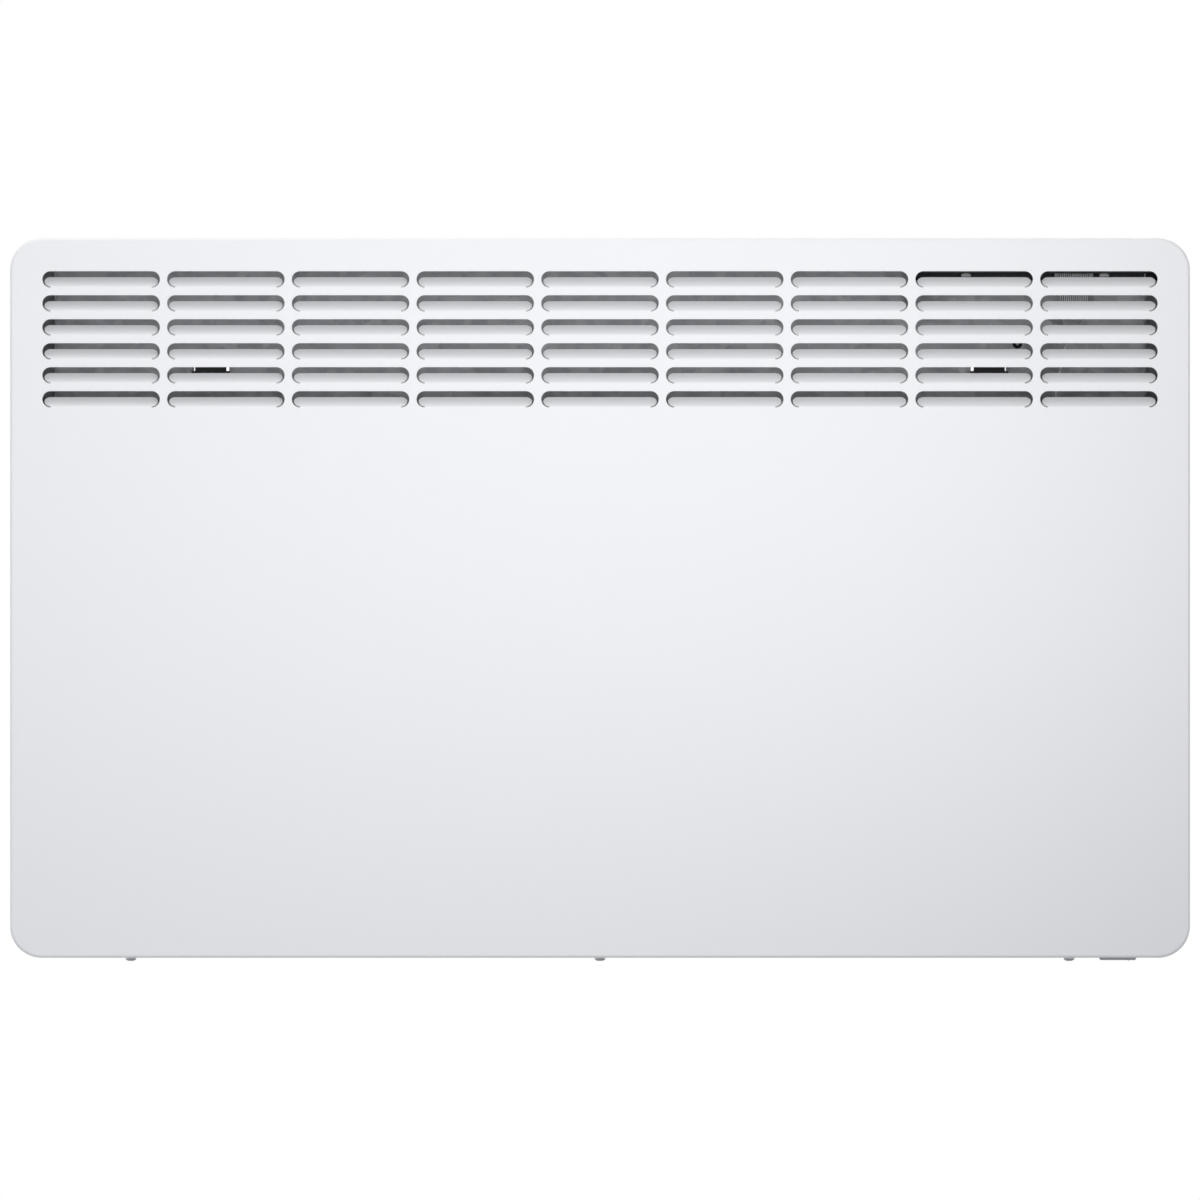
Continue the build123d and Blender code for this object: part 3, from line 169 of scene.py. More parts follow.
class HeaterFinishSettings(bpy.types.PropertyGroup):
    """Colours of the finishes."""

    powder_white: colour("Powder white", "Powder coat of the cover", "#F3F4F6")
    zinc: colour("Zinc", "Zinc coating of the bracket, rear and inner sheets", "#A3A5A7")
    zinc_shade: colour("Zinc shade", "Darker crystals of the zinc coating", "#989A9D")
    plated_steel: colour("Plated steel", "Screws, springs and heating rod", "#B9BABB")
    aluminium: colour("Aluminium", "Heating element and heat sink", "#DCDDDE")
    black_polyamide: colour("Black polyamide", "Tub, latches, relay and plugs", "#101113")
    gloss_abs: colour("Gloss ABS", "Control face", "#0E0F11")
    switch_grey: colour("Switch grey", "Mains switch and ribbon connectors", "#BFC2C7")
    button_grey: colour("Button grey", "Push buttons", "#3A3B3E")
    natural_nylon: colour("Natural nylon", "Spacers, terminal block and clip", "#DDDEDF")
    smoked_acrylic: colour("Smoked acrylic", "Display window", "#15171A")
    solder_mask: colour("Solder mask", "Circuit boards", "#14512F")
    solder_mask_track: colour("Tracks", "Solder mask over copper", "#1F6B40")
    ribbon_grey: colour("Ribbon grey", "Wires of the flat cable", "#F4F5F6")
    # painted shade: the webs get a darker grey than the wires, though both are the same vinyl
    ribbon_groove_shade: colour("Ribbon groove", "Webs between the wires", "#8C8E92")
    silicone_red: colour("Silicone red", "Bushes of the heating rod", "#A2442F")
    steatite: colour("Steatite", "Thermal cutout", "#E8E3D8")
    transformer_blue: colour("Transformer blue", "Encapsulated transformer", "#1D3F78")
    glass_sleeve: colour("Glass sleeve", "Leads of the heating rod", "#D8D3C8")
    tinned_brass: colour("Tinned brass", "Tabs and nut", "#CBB87C")
    printing_ink: colour("Printing ink", "Symbols on the buttons", "#C9CCD0")
    floor: colour("Floor", "Studio floor", "#C2C3C5")


class HeaterStudioSettings(bpy.types.PropertyGroup):
    """Floor, lamps and camera."""

    floor_drop: length("Floor drop", "Casing's middle down to the floor", 0.62)
    floor_radius: length("Floor radius", "Radius of the floor", 6.0)
    floor_plain: length("Plain floor", "Radius within which the floor keeps its shadow", 0.9)
    floor_fade: length("Floor fade", "Radius beyond which the floor is white", 1.9)
    camera_distance: length("Camera distance", "Front face to the camera", 30.0)
    picture_width: length("Picture width", "Width of the picture at the front face", 750.5 * MM)
    picture_drop: length("Picture drop", "Picture's centre below the casing's", 1.25 * MM)
    ambient: FloatProperty(name="Ambient", description="Light all round", default=0.48, min=0.0)
    front_lamp: power("Front lamp", "Power of the wide lamp in front", 4.9)
    upper_lamp: power("Upper lamp", "Power of the lamp high in front", 4.5)
    side_lamp: power("Side lamp", "Power of the lamp above the left end", 3.0)
    left_lamp: power("Left lamp", "Power of the lamp at the left", 3.0)
    right_lamp: power("Right lamp", "Power of the lamp at the right", 0.6)
    top_lamp: power("Top lamp", "Power of the lamp above, towards the wall", 1.5)
    rear_lamp: power("Rear lamp", "Power of the lamp behind, which lights the rear side", 9.0)


# ---------------------------------------------------------------- meshes
SHARP_ANGLE = radians(35)
CROWN_STEP = 15
# the source's faces are joined again where their vertices meet and their faces are level
MEETING = 0.001 * MM
LEVEL_ANGLE = radians(0.5)
ROUNDED_ANGLE = radians(30)


def arc(centre, radius, start, stop, steps):
    """Points of an arc from one angle to another, in degrees."""
    turns = (radians(start + (stop - start) * i / steps) for i in range(steps + 1))
    return [(centre[0] + radius * cos(a), centre[1] + radius * sin(a)) for a in turns]


def circle(centre, radius, count):
    """Points of a whole circle."""
    return arc(centre, radius, 0, 360 - 360 / count, count - 1)


def rounded_rectangle(half_width, half_height, radius, steps, centre=(0.0, 0.0)):
    """Outline of a rectangle with round corners, from the right end of the upper right arc."""
    points = []
    for turn, (side_x, side_y) in enumerate(((1, 1), (-1, 1), (-1, -1), (1, -1))):
        middle_x = centre[0] + side_x * (half_width - radius)
        middle_y = centre[1] + side_y * (half_height - radius)
        points += arc((middle_x, middle_y), radius, 90 * turn, 90 * turn + 90, steps)
    return points


def new_loop(mesh, points):
    """Vertices of a closed outline."""
    return [mesh.verts.new(point) for point in points]


def bridge(mesh, first, second, skip=()):
    """Four-sided faces between two closed loops of as many vertices."""
    count = len(first)
    for i in range(count):
        if i not in skip:
            following = (i + 1) % count
            mesh.faces.new((first[i], first[following], second[following], second[i]))


def loft(mesh, loops):
    """Faces from each loop to the next."""
    for first, second in zip(loops, loops[1:]):
        bridge(mesh, first, second)


def close_ends(mesh, loops):
    """A face on the first loop and one on the last."""
    mesh.faces.new(loops[0])
    mesh.faces.new(loops[-1])


def fill(mesh, outlines):
    """Flat face within the first outline and outside the others."""
    edges = []
    for outline in outlines:
        for i, vertex in enumerate(outline):
            ends = (vertex, outline[(i + 1) % len(outline)])
            edges.append(mesh.edges.get(ends) or mesh.edges.new(ends))
    bmesh.ops.triangle_fill(mesh, use_beauty=True, edges=edges)


def add_prism(mesh, outline, levels):
    """Upright prism of an outline, between two levels."""
    loops = [new_loop(mesh, [(x, y, z) for x, y in outline]) for z in levels]
    bridge(mesh, *loops)
    for loop in loops:
        fill(mesh, [loop])


def crown_profile(radius, span, height, flank, last):
    """Profile, as (radius, rise), of a straight flank and a curve from it inwards.

    The flank is a share of the height, and the curve ends at an angle, in degrees.
    """
    turns = [radians(angle) for angle in range(CROWN_STEP, last + 1, CROWN_STEP)]
    curve = [(radius - span * (1 - cos(a)), height * (flank + (1 - flank) * sin(a))) for a in turns]
    return [(radius, 0.0), (radius, flank * height), *curve]


def new_piece(name, mesh, material, sharp=SHARP_ANGLE, outward=True):
    """Object from a bmesh, shaded smooth but for edges sharper than an angle."""
    if outward:
        bmesh.ops.recalc_face_normals(mesh, faces=mesh.faces)
    for face in mesh.faces:
        face.smooth = True
    data = bpy.data.meshes.new(name)
    mesh.to_mesh(data)
    mesh.free()
    data.set_sharp_from_angle(angle=sharp)
    data.materials.append(material)
    piece = bpy.data.objects.new(name, data)
    bpy.context.scene.collection.objects.link(piece)
    return piece


def add_modifier(piece, kind, **settings):
    """Gives a piece a modifier with its settings."""
    modifier = piece.modifiers.new(kind.title(), kind)
    for name, value in settings.items():
        setattr(modifier, name, value)


def settle(piece):
    """Makes a piece's modifiers part of its mesh."""
    bpy.context.view_layer.update()
    evaluated = piece.evaluated_get(bpy.context.evaluated_depsgraph_get())
    data = bpy.data.meshes.new_from_object(evaluated)
    piece.modifiers.clear()
    piece.data = data


def ride_with(piece, node):
    """A piece rides with a node's body."""
    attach(piece, frame["nodes"][node]["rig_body"])


def stand_for(piece, node):
    """A piece rides with the node that it replaces."""
    ride_with(piece, node)
    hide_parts(node)


def round_edges(piece, radius, segments=2, **limits):
    """Rounds a piece's edges, but for those between nearly level faces."""
    add_modifier(
        piece,
        "BEVEL",
        width=radius,
        segments=segments,
        limit_method="ANGLE",
        harden_normals=True,
        **limits,
    )
    settle(piece)


def rounded_copy(node, radius, segments=2):
    """Stands for a node, with the node's own form and its edges rounded."""
    mesh = bmesh.new()
    mesh.from_mesh(frame["nodes"][node].data)
    bmesh.ops.remove_doubles(mesh, verts=mesh.verts, dist=MEETING)
    bmesh.ops.dissolve_limit(
        mesh, angle_limit=LEVEL_ANGLE, verts=mesh.verts, edges=mesh.edges, delimit=set()
    )
    piece = new_piece(f"{node}_rounded", mesh, finish_of(SLOT_OF_NODE[node]), outward=False)
    round_edges(piece, radius, segments, angle_limit=ROUNDED_ANGLE)
    stand_for(piece, node)


# ---------------------------------------------------------------- materials
def add_node(tree, kind, settings=None, **inputs):
    """A shader node with its settings; an input is a value or another node's output."""
    node = tree.nodes.new(kind)
    for name, value in (settings or {}).items():
        setattr(node, name, value)
    for name, value in inputs.items():
        socket = node.inputs[int(name[1:]) if name[1:].isdigit() else name.replace("_", " ")]
        if isinstance(value, bpy.types.NodeSocket):
            tree.links.new(value, socket)
        else:
            socket.default_value = value
    return node


def start_material(name, base, roughness, metallic=0.0, **sockets):
    """A named material; gives it with its tree, shader and the object's own coordinates."""
    material = bpy.data.materials.new(name)
    material.use_nodes = True
    material.diffuse_color = (*base, 1.0)
    tree = material.node_tree
    shader = tree.nodes["Principled BSDF"]
    shader.inputs["Base Color"].default_value = (*base, 1.0)
    shader.inputs["Roughness"].default_value = roughness
    shader.inputs["Metallic"].default_value = metallic
    for socket, value in sockets.items():
        shader.inputs[socket.replace("_", " ")].default_value = value
    place = add_node(tree, "ShaderNodeTexCoord").outputs["Object"]
    return material, tree, shader, place


def grain(tree, shader, place, size, depth, strength=1.0, detail=2.0):
    """Fine relief of rounded grains of a size and depth, in metres."""
    texture = add_node(tree, "ShaderNodeTexNoise", Vector=place, Scale=1 / size, Detail=detail)
    relief = add_node(
        tree, "ShaderNodeBump", Height=texture.outputs["Fac"], Distance=depth, Strength=strength
    )
    tree.links.new(relief.outputs["Normal"], shader.inputs["Normal"])
    return texture


def vary(tree, source, socket, low, high):
    """Links a 0 to 1 output to a socket, as a value between two limits."""
    spread = add_node(tree, "ShaderNodeMapRange", Value=source, To_Min=low, To_Max=high)
    tree.links.new(spread.outputs["Result"], socket)


def blend_colours(tree, source, socket, first, second):
    """Links a socket to a colour between two, by a 0 to 1 output."""
    mix = add_node(
        tree,
        "ShaderNodeMix",
        {"data_type": "RGBA"},
        _0=source,
        _6=(*first, 1.0),
        _7=(*second, 1.0),
    )
    tree.links.new(mix.outputs[2], socket)


def grained(
    name, colour_name, roughness, size, depth, gloss=None, strength=1.0, detail=2.0, **sockets
):
    """A finish with one even grain, whose roughness may vary with it between two limits."""

    def make(colours):
        base = getattr(colours, colour_name)
        material, tree, shader, place = start_material(name, base, roughness, **sockets)
        texture = grain(tree, shader, place, size, depth, strength, detail)
        if gloss:
            vary(tree, texture.outputs["Fac"], shader.inputs["Roughness"], *gloss)
        return material

    return make


def powder_coated_steel(colours):
    """Steel, electrostatically powder coated and baked: satin, with a faint orange peel."""
    material, tree, shader, place = start_material(
        "powder_coated_steel", colours.powder_white, 0.42, IOR=1.5
    )
    grain(tree, shader, place, 1.1 * MM, 0.006 * MM)
    cloud = add_node(tree, "ShaderNodeTexNoise", Vector=place, Scale=1 / (45 * MM), Detail=1.0)
    vary(tree, cloud.outputs["Fac"], shader.inputs["Roughness"], 0.40, 0.44)
    return material


def zinc_coated_steel(colours):
    """Hot-dip zinc coated sheet: crystals of 5 mm that differ a little in tone and gloss."""
    material, tree, shader, place = start_material(
        "zinc_coated_steel", colours.zinc, 0.5, metallic=1.0
    )
    crystals = add_node(tree, "ShaderNodeTexVoronoi", Vector=place, Scale=1 / (5 * MM))
    tone = add_node(tree, "ShaderNodeSeparateColor", Color=crystals.outputs["Color"])
    blend_colours(
        tree, tone.outputs[0], shader.inputs["Base Color"], colours.zinc, colours.zinc_shade
    )
    vary(tree, tone.outputs[1], shader.inputs["Roughness"], 0.42, 0.56)
    grain(tree, shader, place, 0.6 * MM, 0.004 * MM)
    return material


def extruded_aluminium(colours):
    """Aluminium pushed through a die: fine lines along its length, mill finish."""
    material, tree, shader, place = start_material(
        "extruded_aluminium", colours.aluminium, 0.36, metallic=1.0
    )
    drawn_out = add_node(
        tree, "ShaderNodeMapping", Vector=place, Scale=(0.02, 1.0, 1.0)
    ).outputs["Vector"]
    lines = grain(tree, shader, drawn_out, 0.5 * MM, 0.01 * MM)
    vary(tree, lines.outputs["Fac"], shader.inputs["Roughness"], 0.3, 0.46)
    return material


def circuit_board(colours):
    """Glass fibre laminate under green solder mask: tracks stand out lighter."""
    material, tree, shader, place = start_material(
        "solder_masked_laminate", colours.solder_mask, 0.34, IOR=1.5
    )
    tracks = add_node(
        tree,
        "ShaderNodeTexVoronoi",
        {"feature": "F1", "distance": "CHEBYCHEV"},
        Vector=place,
        Scale=1 / (3.2 * MM),
    )
    on_track = add_node(
        tree,
        "ShaderNodeMath",
        {"operation": "GREATER_THAN"},
        _0=tracks.outputs["Distance"],
        _1=0.42,
    )
    blend_colours(
        tree,
        on_track.outputs[0],
        shader.inputs["Base Color"],
        colours.solder_mask,
        colours.solder_mask_track,
    )
    return material


def ribbon_web(colours):
    """Thin vinyl web between two wires: the same extrusion as the wires, given a darker grey as painted
    shade where it lies in a groove.
    """
    return start_material("extruded_grey_web", colours.ribbon_groove_shade, 0.5, IOR=1.53)[0]


def glass_sleeve(colours):
    """Braided glass-fibre sleeve on the leads: pale, matt, with a fine braid."""
    material, tree, shader, place = start_material(
        "braided_glass_sleeve", colours.glass_sleeve, 0.75, Sheen_Weight=0.3
    )
    braid = add_node(
        tree,
        "ShaderNodeTexWave",
        {"bands_direction": "DIAGONAL"},
        Vector=place,
        Scale=0.3 / (1.2 * MM),
        Distortion=0.0,
    )
    relief = add_node(
        tree, "ShaderNodeBump", Height=braid.outputs["Fac"], Distance=0.1 * MM, Strength=0.6
    )
    tree.links.new(relief.outputs["Normal"], shader.inputs["Normal"])
    return material


FINISHES = {
    "white_sheet": powder_coated_steel,
    "galvanised": zinc_coated_steel,
    "aluminium": extruded_aluminium,
    "board": circuit_board,
    # the webs' darker grey is painted shade of the grooves
    "ribbon_web": ribbon_web,
    "lead": glass_sleeve,
    # drawn or headed steel, bright zinc plated: smooth metal with a soft sheen
    "bright_steel": grained(
        "plated_steel", "plated_steel", 0.3, 0.5 * MM, 0.004 * MM, (0.24, 0.4), metallic=1.0
    ),
    # polyamide moulded in a spark-eroded tool: matt black with a fine even grain, which is
    # 0.15 mm on the real one and is drawn at 0.35 mm so that it shows
    "black_plastic": grained(
        "moulded_black_polyamide", "black_polyamide", 0.55, 0.35 * MM, 0.02 * MM, (0.48, 0.64), IOR=1.53
    ),
    # ABS moulded in a polished tool: deep black, mirror-like, with faint flow waves
    "gloss_black": grained(
        "polished_black_abs", "gloss_abs", 0.12, 9 * MM, 0.01 * MM, strength=0.3, detail=0.0, IOR=1.54
    ),
    # light grey polyamide: satin, finely eroded
    "grey_plastic": grained(
        "moulded_grey_polyamide", "switch_grey", 0.46, 0.35 * MM, 0.012 * MM, (0.42, 0.52), IOR=1.53
    ),
    # dark grey ABS: satin with a soft touch grain
    "dark_plastic": grained(
        "moulded_grey_abs", "button_grey", 0.42, 0.3 * MM, 0.012 * MM, (0.38, 0.5), IOR=1.54
    ),
    # undyed nylon: milky white and slightly waxy, light sinks into it
    "white_plastic": grained(
        "moulded_natural_nylon",
        "natural_nylon",
        0.4,
        0.4 * MM,
        0.01 * MM,
        IOR=1.53,
        Subsurface_Weight=0.15,
        Subsurface_Scale=1.0 * MM,
    ),
    # cast acrylic, smoked: very smooth and dark, with a hard surface gloss
    "lens": grained(
        "smoked_acrylic",
        "smoked_acrylic",
        0.05,
        14 * MM,
        0.004 * MM,
        strength=0.2,
        detail=0.0,
        IOR=1.49,
        Coat_Weight=0.4,
        Coat_Roughness=0.03,
    ),
    # extruded soft vinyl of a flat cable: satin, pale grey
    "ribbon": grained("extruded_grey_vinyl", "ribbon_grey", 0.45, 0.6 * MM, 0.01 * MM, IOR=1.53),
    # press-moulded silicone: dull and slightly powdery
    "silicone": grained(
        "moulded_silicone", "silicone_red", 0.7, 0.5 * MM, 0.02 * MM, IOR=1.41, Sheen_Weight=0.2
    ),
    # pressed and fired steatite: matt, with specks
    "ceramic": grained(
        "fired_steatite", "steatite", 0.65, 0.8 * MM, 0.03 * MM, (0.55, 0.75), detail=6.0, IOR=1.58
    ),
    # blue encapsulating case: moulded, satin
    "blue_plastic": grained(
        "moulded_blue_polyester", "transformer_blue", 0.4, 0.5 * MM, 0.015 * MM, IOR=1.55
    ),
    # stamped brass, tinned: warm metal, softly scratched
    "terminal_metal": grained(
        "stamped_tinned_brass", "tinned_brass", 0.35, 0.4 * MM, 0.006 * MM, (0.28, 0.45), metallic=1.0
    ),
    # pad-printed ink: thin, pale and satin
    "ink": grained("pad_printed_ink", "printing_ink", 0.5, 0.2 * MM, 0.004 * MM),
}
made_finishes = {}


def finish_of(slot):
    """The material for a slot, made once."""
    if slot not in made_finishes:
        made_finishes[slot] = FINISHES[slot](bpy.context.scene.heater_finishes)
    return made_finishes[slot]


# ---------------------------------------------------------------- front cover
COVER_LOW, COVER_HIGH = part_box("front_cover")
CORNER_STEPS = 18
EDGE_STEPS = 7
SLOT_END_STEPS = 24
BEND_STEPS = 6
# a row of a tongue that reaches less than this past its straight part has no round ends
LEAST_REACH = 0.05 * MM
SCREW_HOLE_RADIUS = 2.0 * MM
SCREW_HOLE_POINTS = 24
INLET_ROWS = 2
INLET_CORNER_STEPS = 3
OPENING_GAP = 0.3 * MM
CONTROL_CORNER = 4.0 * MM
CONTROL_CORNER_STEPS = 8
# the control face is what lies this near the bezel's top
FACE_DEPTH = 0.05 * MM


def slot_centres(cover):
    """Centres of the slots, as (x, z)."""
    first_z = COVER_HIGH.z - cover.top_margin - cover.slot_height / 2
    for row in range(cover.rows):
        for column in range(cover.columns):
            yield (column - (cover.columns - 1) / 2) * cover.pitch_x, first_z - row * cover.pitch_z


def slot_points(cover, x, z):
    """Outline of one slot in the front face, from the left end of its lower edge."""
    end_x = (cover.slot_length - cover.slot_height) / 2
    radius = cover.slot_height / 2
    right = arc((x + end_x, z), radius, -90, 90, SLOT_END_STEPS)
    left = arc((x - end_x, z), radius, 90, 270, SLOT_END_STEPS)
    outline = [left[-1], *right, *left[:-1]]
    return [(point_x, COVER_LOW.y, point_z) for point_x, point_z in outline]


def bent(cover, x, rise, low_z):
    """Place of a point of a tongue, by its way up from the slot's lower edge."""
    radius, angle = cover.bend_radius, cover.bend_angle
    turned = min(rise / radius, angle)
    straight = max(rise - radius * angle, 0.0)
    return (
        x,
        COVER_LOW.y + radius * (1 - cos(turned)) + straight * sin(angle),
        low_z + radius * sin(turned) + straight * cos(angle),
    )


def add_tongue(mesh, cover, x, z, root):
    """One tongue: rises from the slot's lower edge, bends in, and has round ends."""
    low_z = z - cover.slot_height / 2
    end_x = (cover.slot_length - cover.slot_height) / 2
    radius = cover.slot_height / 2 - cover.kerf
    middle = cover.slot_height / 2
    bend_length = cover.bend_radius * cover.bend_angle
    bend_rises = [bend_length * i / BEND_STEPS for i in range(1, BEND_STEPS + 1)]
    end_rises = [middle - radius * cos(pi * i / SLOT_END_STEPS) for i in range(SLOT_END_STEPS + 1)]
    previous = list(root)
    for rise in sorted({round(r, 7) for r in bend_rises + end_rises}):
        beyond = radius**2 - (rise - middle) ** 2
        reach = sqrt(beyond) if beyond > LEAST_REACH**2 else 0.0
        xs = [x - end_x, x + end_x]
        if reach:
            xs = [xs[0] - reach, *xs, xs[1] + reach]
        row = [mesh.verts.new(bent(cover, point_x, rise, low_z)) for point_x in xs]
        join_rows(mesh, previous, row)
        previous = row


def join_rows(mesh, lower, upper):
    """Faces between two rows of a tongue, which have two or four vertices each."""
    if len(lower) == len(upper):
        for i in range(len(lower) - 1):
            mesh.faces.new((lower[i], lower[i + 1], upper[i + 1], upper[i]))
        return
    wide, narrow = (upper, lower) if len(upper) > len(lower) else (lower, upper)
    mesh.faces.new((narrow[0], narrow[1], wide[2], wide[1]))
    mesh.faces.new((narrow[0], wide[1], wide[0]))
    mesh.faces.new((narrow[1], wide[3], wide[2]))


def wall_hole(mesh, outline, z):
    """Outline of a hole in the top or bottom wall."""
    return new_loop(mesh, [(x, y, z) for x, y in outline])


def bottom_holes(mesh, cover, z):
    """Air inlets and screw holes of the bottom wall."""
    holes = []
    count = int((COVER_HIGH.x - COVER_LOW.x - 2 * cover.corner_radius) // cover.pitch_x)
    half_x, half_y = cover.inlet_length / 2, cover.inlet_width / 2
    for row in range(INLET_ROWS):
        middle_y = COVER_LOW.y + cover.inlet_offset + half_y + row * cover.inlet_pitch
        for column in range(count):
            centre = ((column - (count - 1) / 2) * cover.pitch_x, middle_y)
            outline = rounded_rectangle(
                half_x, half_y, cover.inlet_corner, INLET_CORNER_STEPS, centre
            )
            holes.append(wall_hole(mesh, outline, z))
    for place in screw_places():
        holes.append(wall_hole(mesh, circle(place, SCREW_HOLE_RADIUS, SCREW_HOLE_POINTS), z))
    return holes


def screw_places():
    """Places of the cover screws, as (x, y)."""
    low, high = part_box("cover_screws")
    radius = (high.y - low.y) / 2
    y = low.y + radius
    return [(x, y) for x in (low.x + radius, (low.x + high.x) / 2, high.x - radius)]


def control_opening(mesh, z):
    """Opening of the top wall round the control face."""
    face_low, face_high = control_face_box()
    half_x = (face_high.x - face_low.x) / 2 + OPENING_GAP
    half_y = (face_high.y - face_low.y) / 2 + OPENING_GAP
    centre = ((face_low.x + face_high.x) / 2, (face_low.y + face_high.y) / 2)
    corner = CONTROL_CORNER + OPENING_GAP
    outline = rounded_rectangle(half_x, half_y, corner, CONTROL_CORNER_STEPS, centre)
    return wall_hole(mesh, outline, z)


def control_face_box():
    """Corners of the raised control face, which is the highest part of the bezel."""
    corners = [vertex.co for vertex in frame["nodes"]["control_bezel"].data.vertices]
    top = max(corner.z for corner in corners)
    raised = [corner for corner in corners if corner.z > top - FACE_DEPTH]
    low = Vector((min(c.x for c in raised), min(c.y for c in raised), top))
    high = Vector((max(c.x for c in raised), max(c.y for c in raised), top))
    return low, high


def build_cover(cover):
    """The pressed cover's outer surface: louvred front, rounded edge and four walls."""
    mesh = bmesh.new()
    half_x = (COVER_HIGH.x - COVER_LOW.x) / 2
    half_z = (COVER_HIGH.z - COVER_LOW.z) / 2
    rings = []
    for step in range(EDGE_STEPS + 1):
        turn = radians(90 * step / EDGE_STEPS)
        inset = cover.edge_radius * (1 - sin(turn))
        y = COVER_LOW.y + cover.edge_radius * (1 - cos(turn))
        outline = rounded_rectangle(
            half_x - inset, half_z - inset, cover.corner_radius - inset, CORNER_STEPS
        )
        rings.append(new_loop(mesh, [(x, y, z) for x, z in outline]))
    loft(mesh, rings)
    front = rings[-1]
    outline = rounded_rectangle(half_x, half_z, cover.corner_radius, CORNER_STEPS)
    rear = new_loop(mesh, [(x, COVER_HIGH.y, z) for x, z in outline])
    # the outline's straight edges along the top and bottom walls, which have openings
    top = CORNER_STEPS
    bottom = 3 * CORNER_STEPS + 2
    bridge(mesh, front, rear, skip=(top, bottom))
    top_wall = [front[top], front[top + 1], rear[top + 1], rear[top]]
    fill(mesh, [top_wall, control_opening(mesh, half_z)])
    bottom_wall = [front[bottom], front[bottom + 1], *switch_notch(mesh, rear, bottom, -half_z)]
    fill(mesh, [bottom_wall, *bottom_holes(mesh, cover, -half_z)])
    slots = []
    for x, z in slot_centres(cover):
        slot = new_loop(mesh, slot_points(cover, x, z))
        slots.append(slot)
        add_tongue(mesh, cover, x, z, slot[:2])
    fill(mesh, [rings[0], *slots])
    return mesh


def switch_notch(mesh, rear, bottom, z):
    """Rear edge of the bottom wall from right to left, with the notch round the switch."""
    low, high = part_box("switch_housing")
    left, right, inner_y = low.x - OPENING_GAP, high.x + OPENING_GAP, low.y - OPENING_GAP
    notch = [(right, COVER_HIGH.y), (right, inner_y), (left, inner_y), (left, COVER_HIGH.y)]
    return [rear[bottom + 1], *(mesh.verts.new((x, y, z)) for x, y in notch), rear[bottom]]


class HEATER_OT_front_cover(bpy.types.Operator):
    """Make the louvred front cover"""

    bl_idname = "heater.front_cover"
    bl_label = "Front cover"

    def execute(self, context):
        cover = context.scene.heater_cover
        piece = new_piece("louvred_cover", build_cover(cover), finish_of("white_sheet"))
        add_modifier(
            piece,
            "SOLIDIFY",
            thickness=cover.sheet,
            offset=-1.0,
            use_even_offset=True,
            use_quality_normals=True,
        )
        settle(piece)
        piece.data.set_sharp_from_angle(angle=SHARP_ANGLE)
        add_modifier(piece, "WEIGHTED_NORMAL", keep_sharp=True)
        stand_for(piece, "front_cover")
        return {"FINISHED"}


# ---------------------------------------------------------------- fittings
TURNED_POINTS = 48


class HEATER_OT_screws(bpy.types.Operator):
    """Make the three cover screws with their cross recesses"""

    bl_idname = "heater.screws"
    bl_label = "Cover screws"

    SHANK_RADIUS = 1.6 * MM
    # straight share of a head's height
    FLANK = 0.35
    LAST_ANGLE = 75
    CUTTER_OVERLAP = 0.5 * MM
    RECESS_TAPER = 0.5

    def execute(self, context):
        sizes = context.scene.heater_fittings
        low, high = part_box("cover_screws")
        radius = (high.y - low.y) / 2
        seat = COVER_LOW.z
        head = crown_profile(radius, radius, seat - low.z, self.FLANK, self.LAST_ANGLE)
        profile = [(self.SHANK_RADIUS, high.z), (self.SHANK_RADIUS, seat)]
        profile += [(r, seat - rise) for r, rise in head]
        mesh = bmesh.new()
        for place in screw_places():
            rings = [
                new_loop(mesh, [(x, y, z) for x, y in circle(place, r, TURNED_POINTS)])
                for r, z in profile
            ]
            loft(mesh, rings)
            close_ends(mesh, rings)
        piece = new_piece("cover_screw_set", mesh, finish_of("bright_steel"))
        cutter = self.recess_cutter(sizes, low.z)
        add_modifier(
            piece, "BOOLEAN", operation="DIFFERENCE", object=cutter, solver="EXACT", use_self=True
        )
        settle(piece)
        bpy.data.objects.remove(cutter)
        piece.data.set_sharp_from_angle(angle=SHARP_ANGLE)
        stand_for(piece, "cover_screws")
        return {"FINISHED"}

    def recess_cutter(self, sizes, low_z):
        """Crossed tapered blades under all the screw heads."""
        mesh = bmesh.new()
        for x, y in screw_places():
            for across in (False, True):
                self.add_blade(mesh, sizes, x, y, low_z, across)
        return new_piece("recess_cutter", mesh, finish_of("bright_steel"))

    def add_blade(self, mesh, sizes, x, y, low_z, across):
        """One blade of a recess, narrower upwards."""
        loops = []
        below, end = low_z - self.CUTTER_OVERLAP, low_z + sizes.recess_depth
        for z, share in ((below, 1.0), (end, self.RECESS_TAPER)):
            half = (sizes.recess_span / 2 * share, sizes.recess_width / 2)
            half_x, half_y = half[::-1] if across else half
            corners = ((-half_x, -half_y), (half_x, -half_y), (half_x, half_y), (-half_x, half_y))
            loops.append(new_loop(mesh, [(x + a, y + b, z) for a, b in corners]))
        loft(mesh, loops)
        close_ends(mesh, loops)


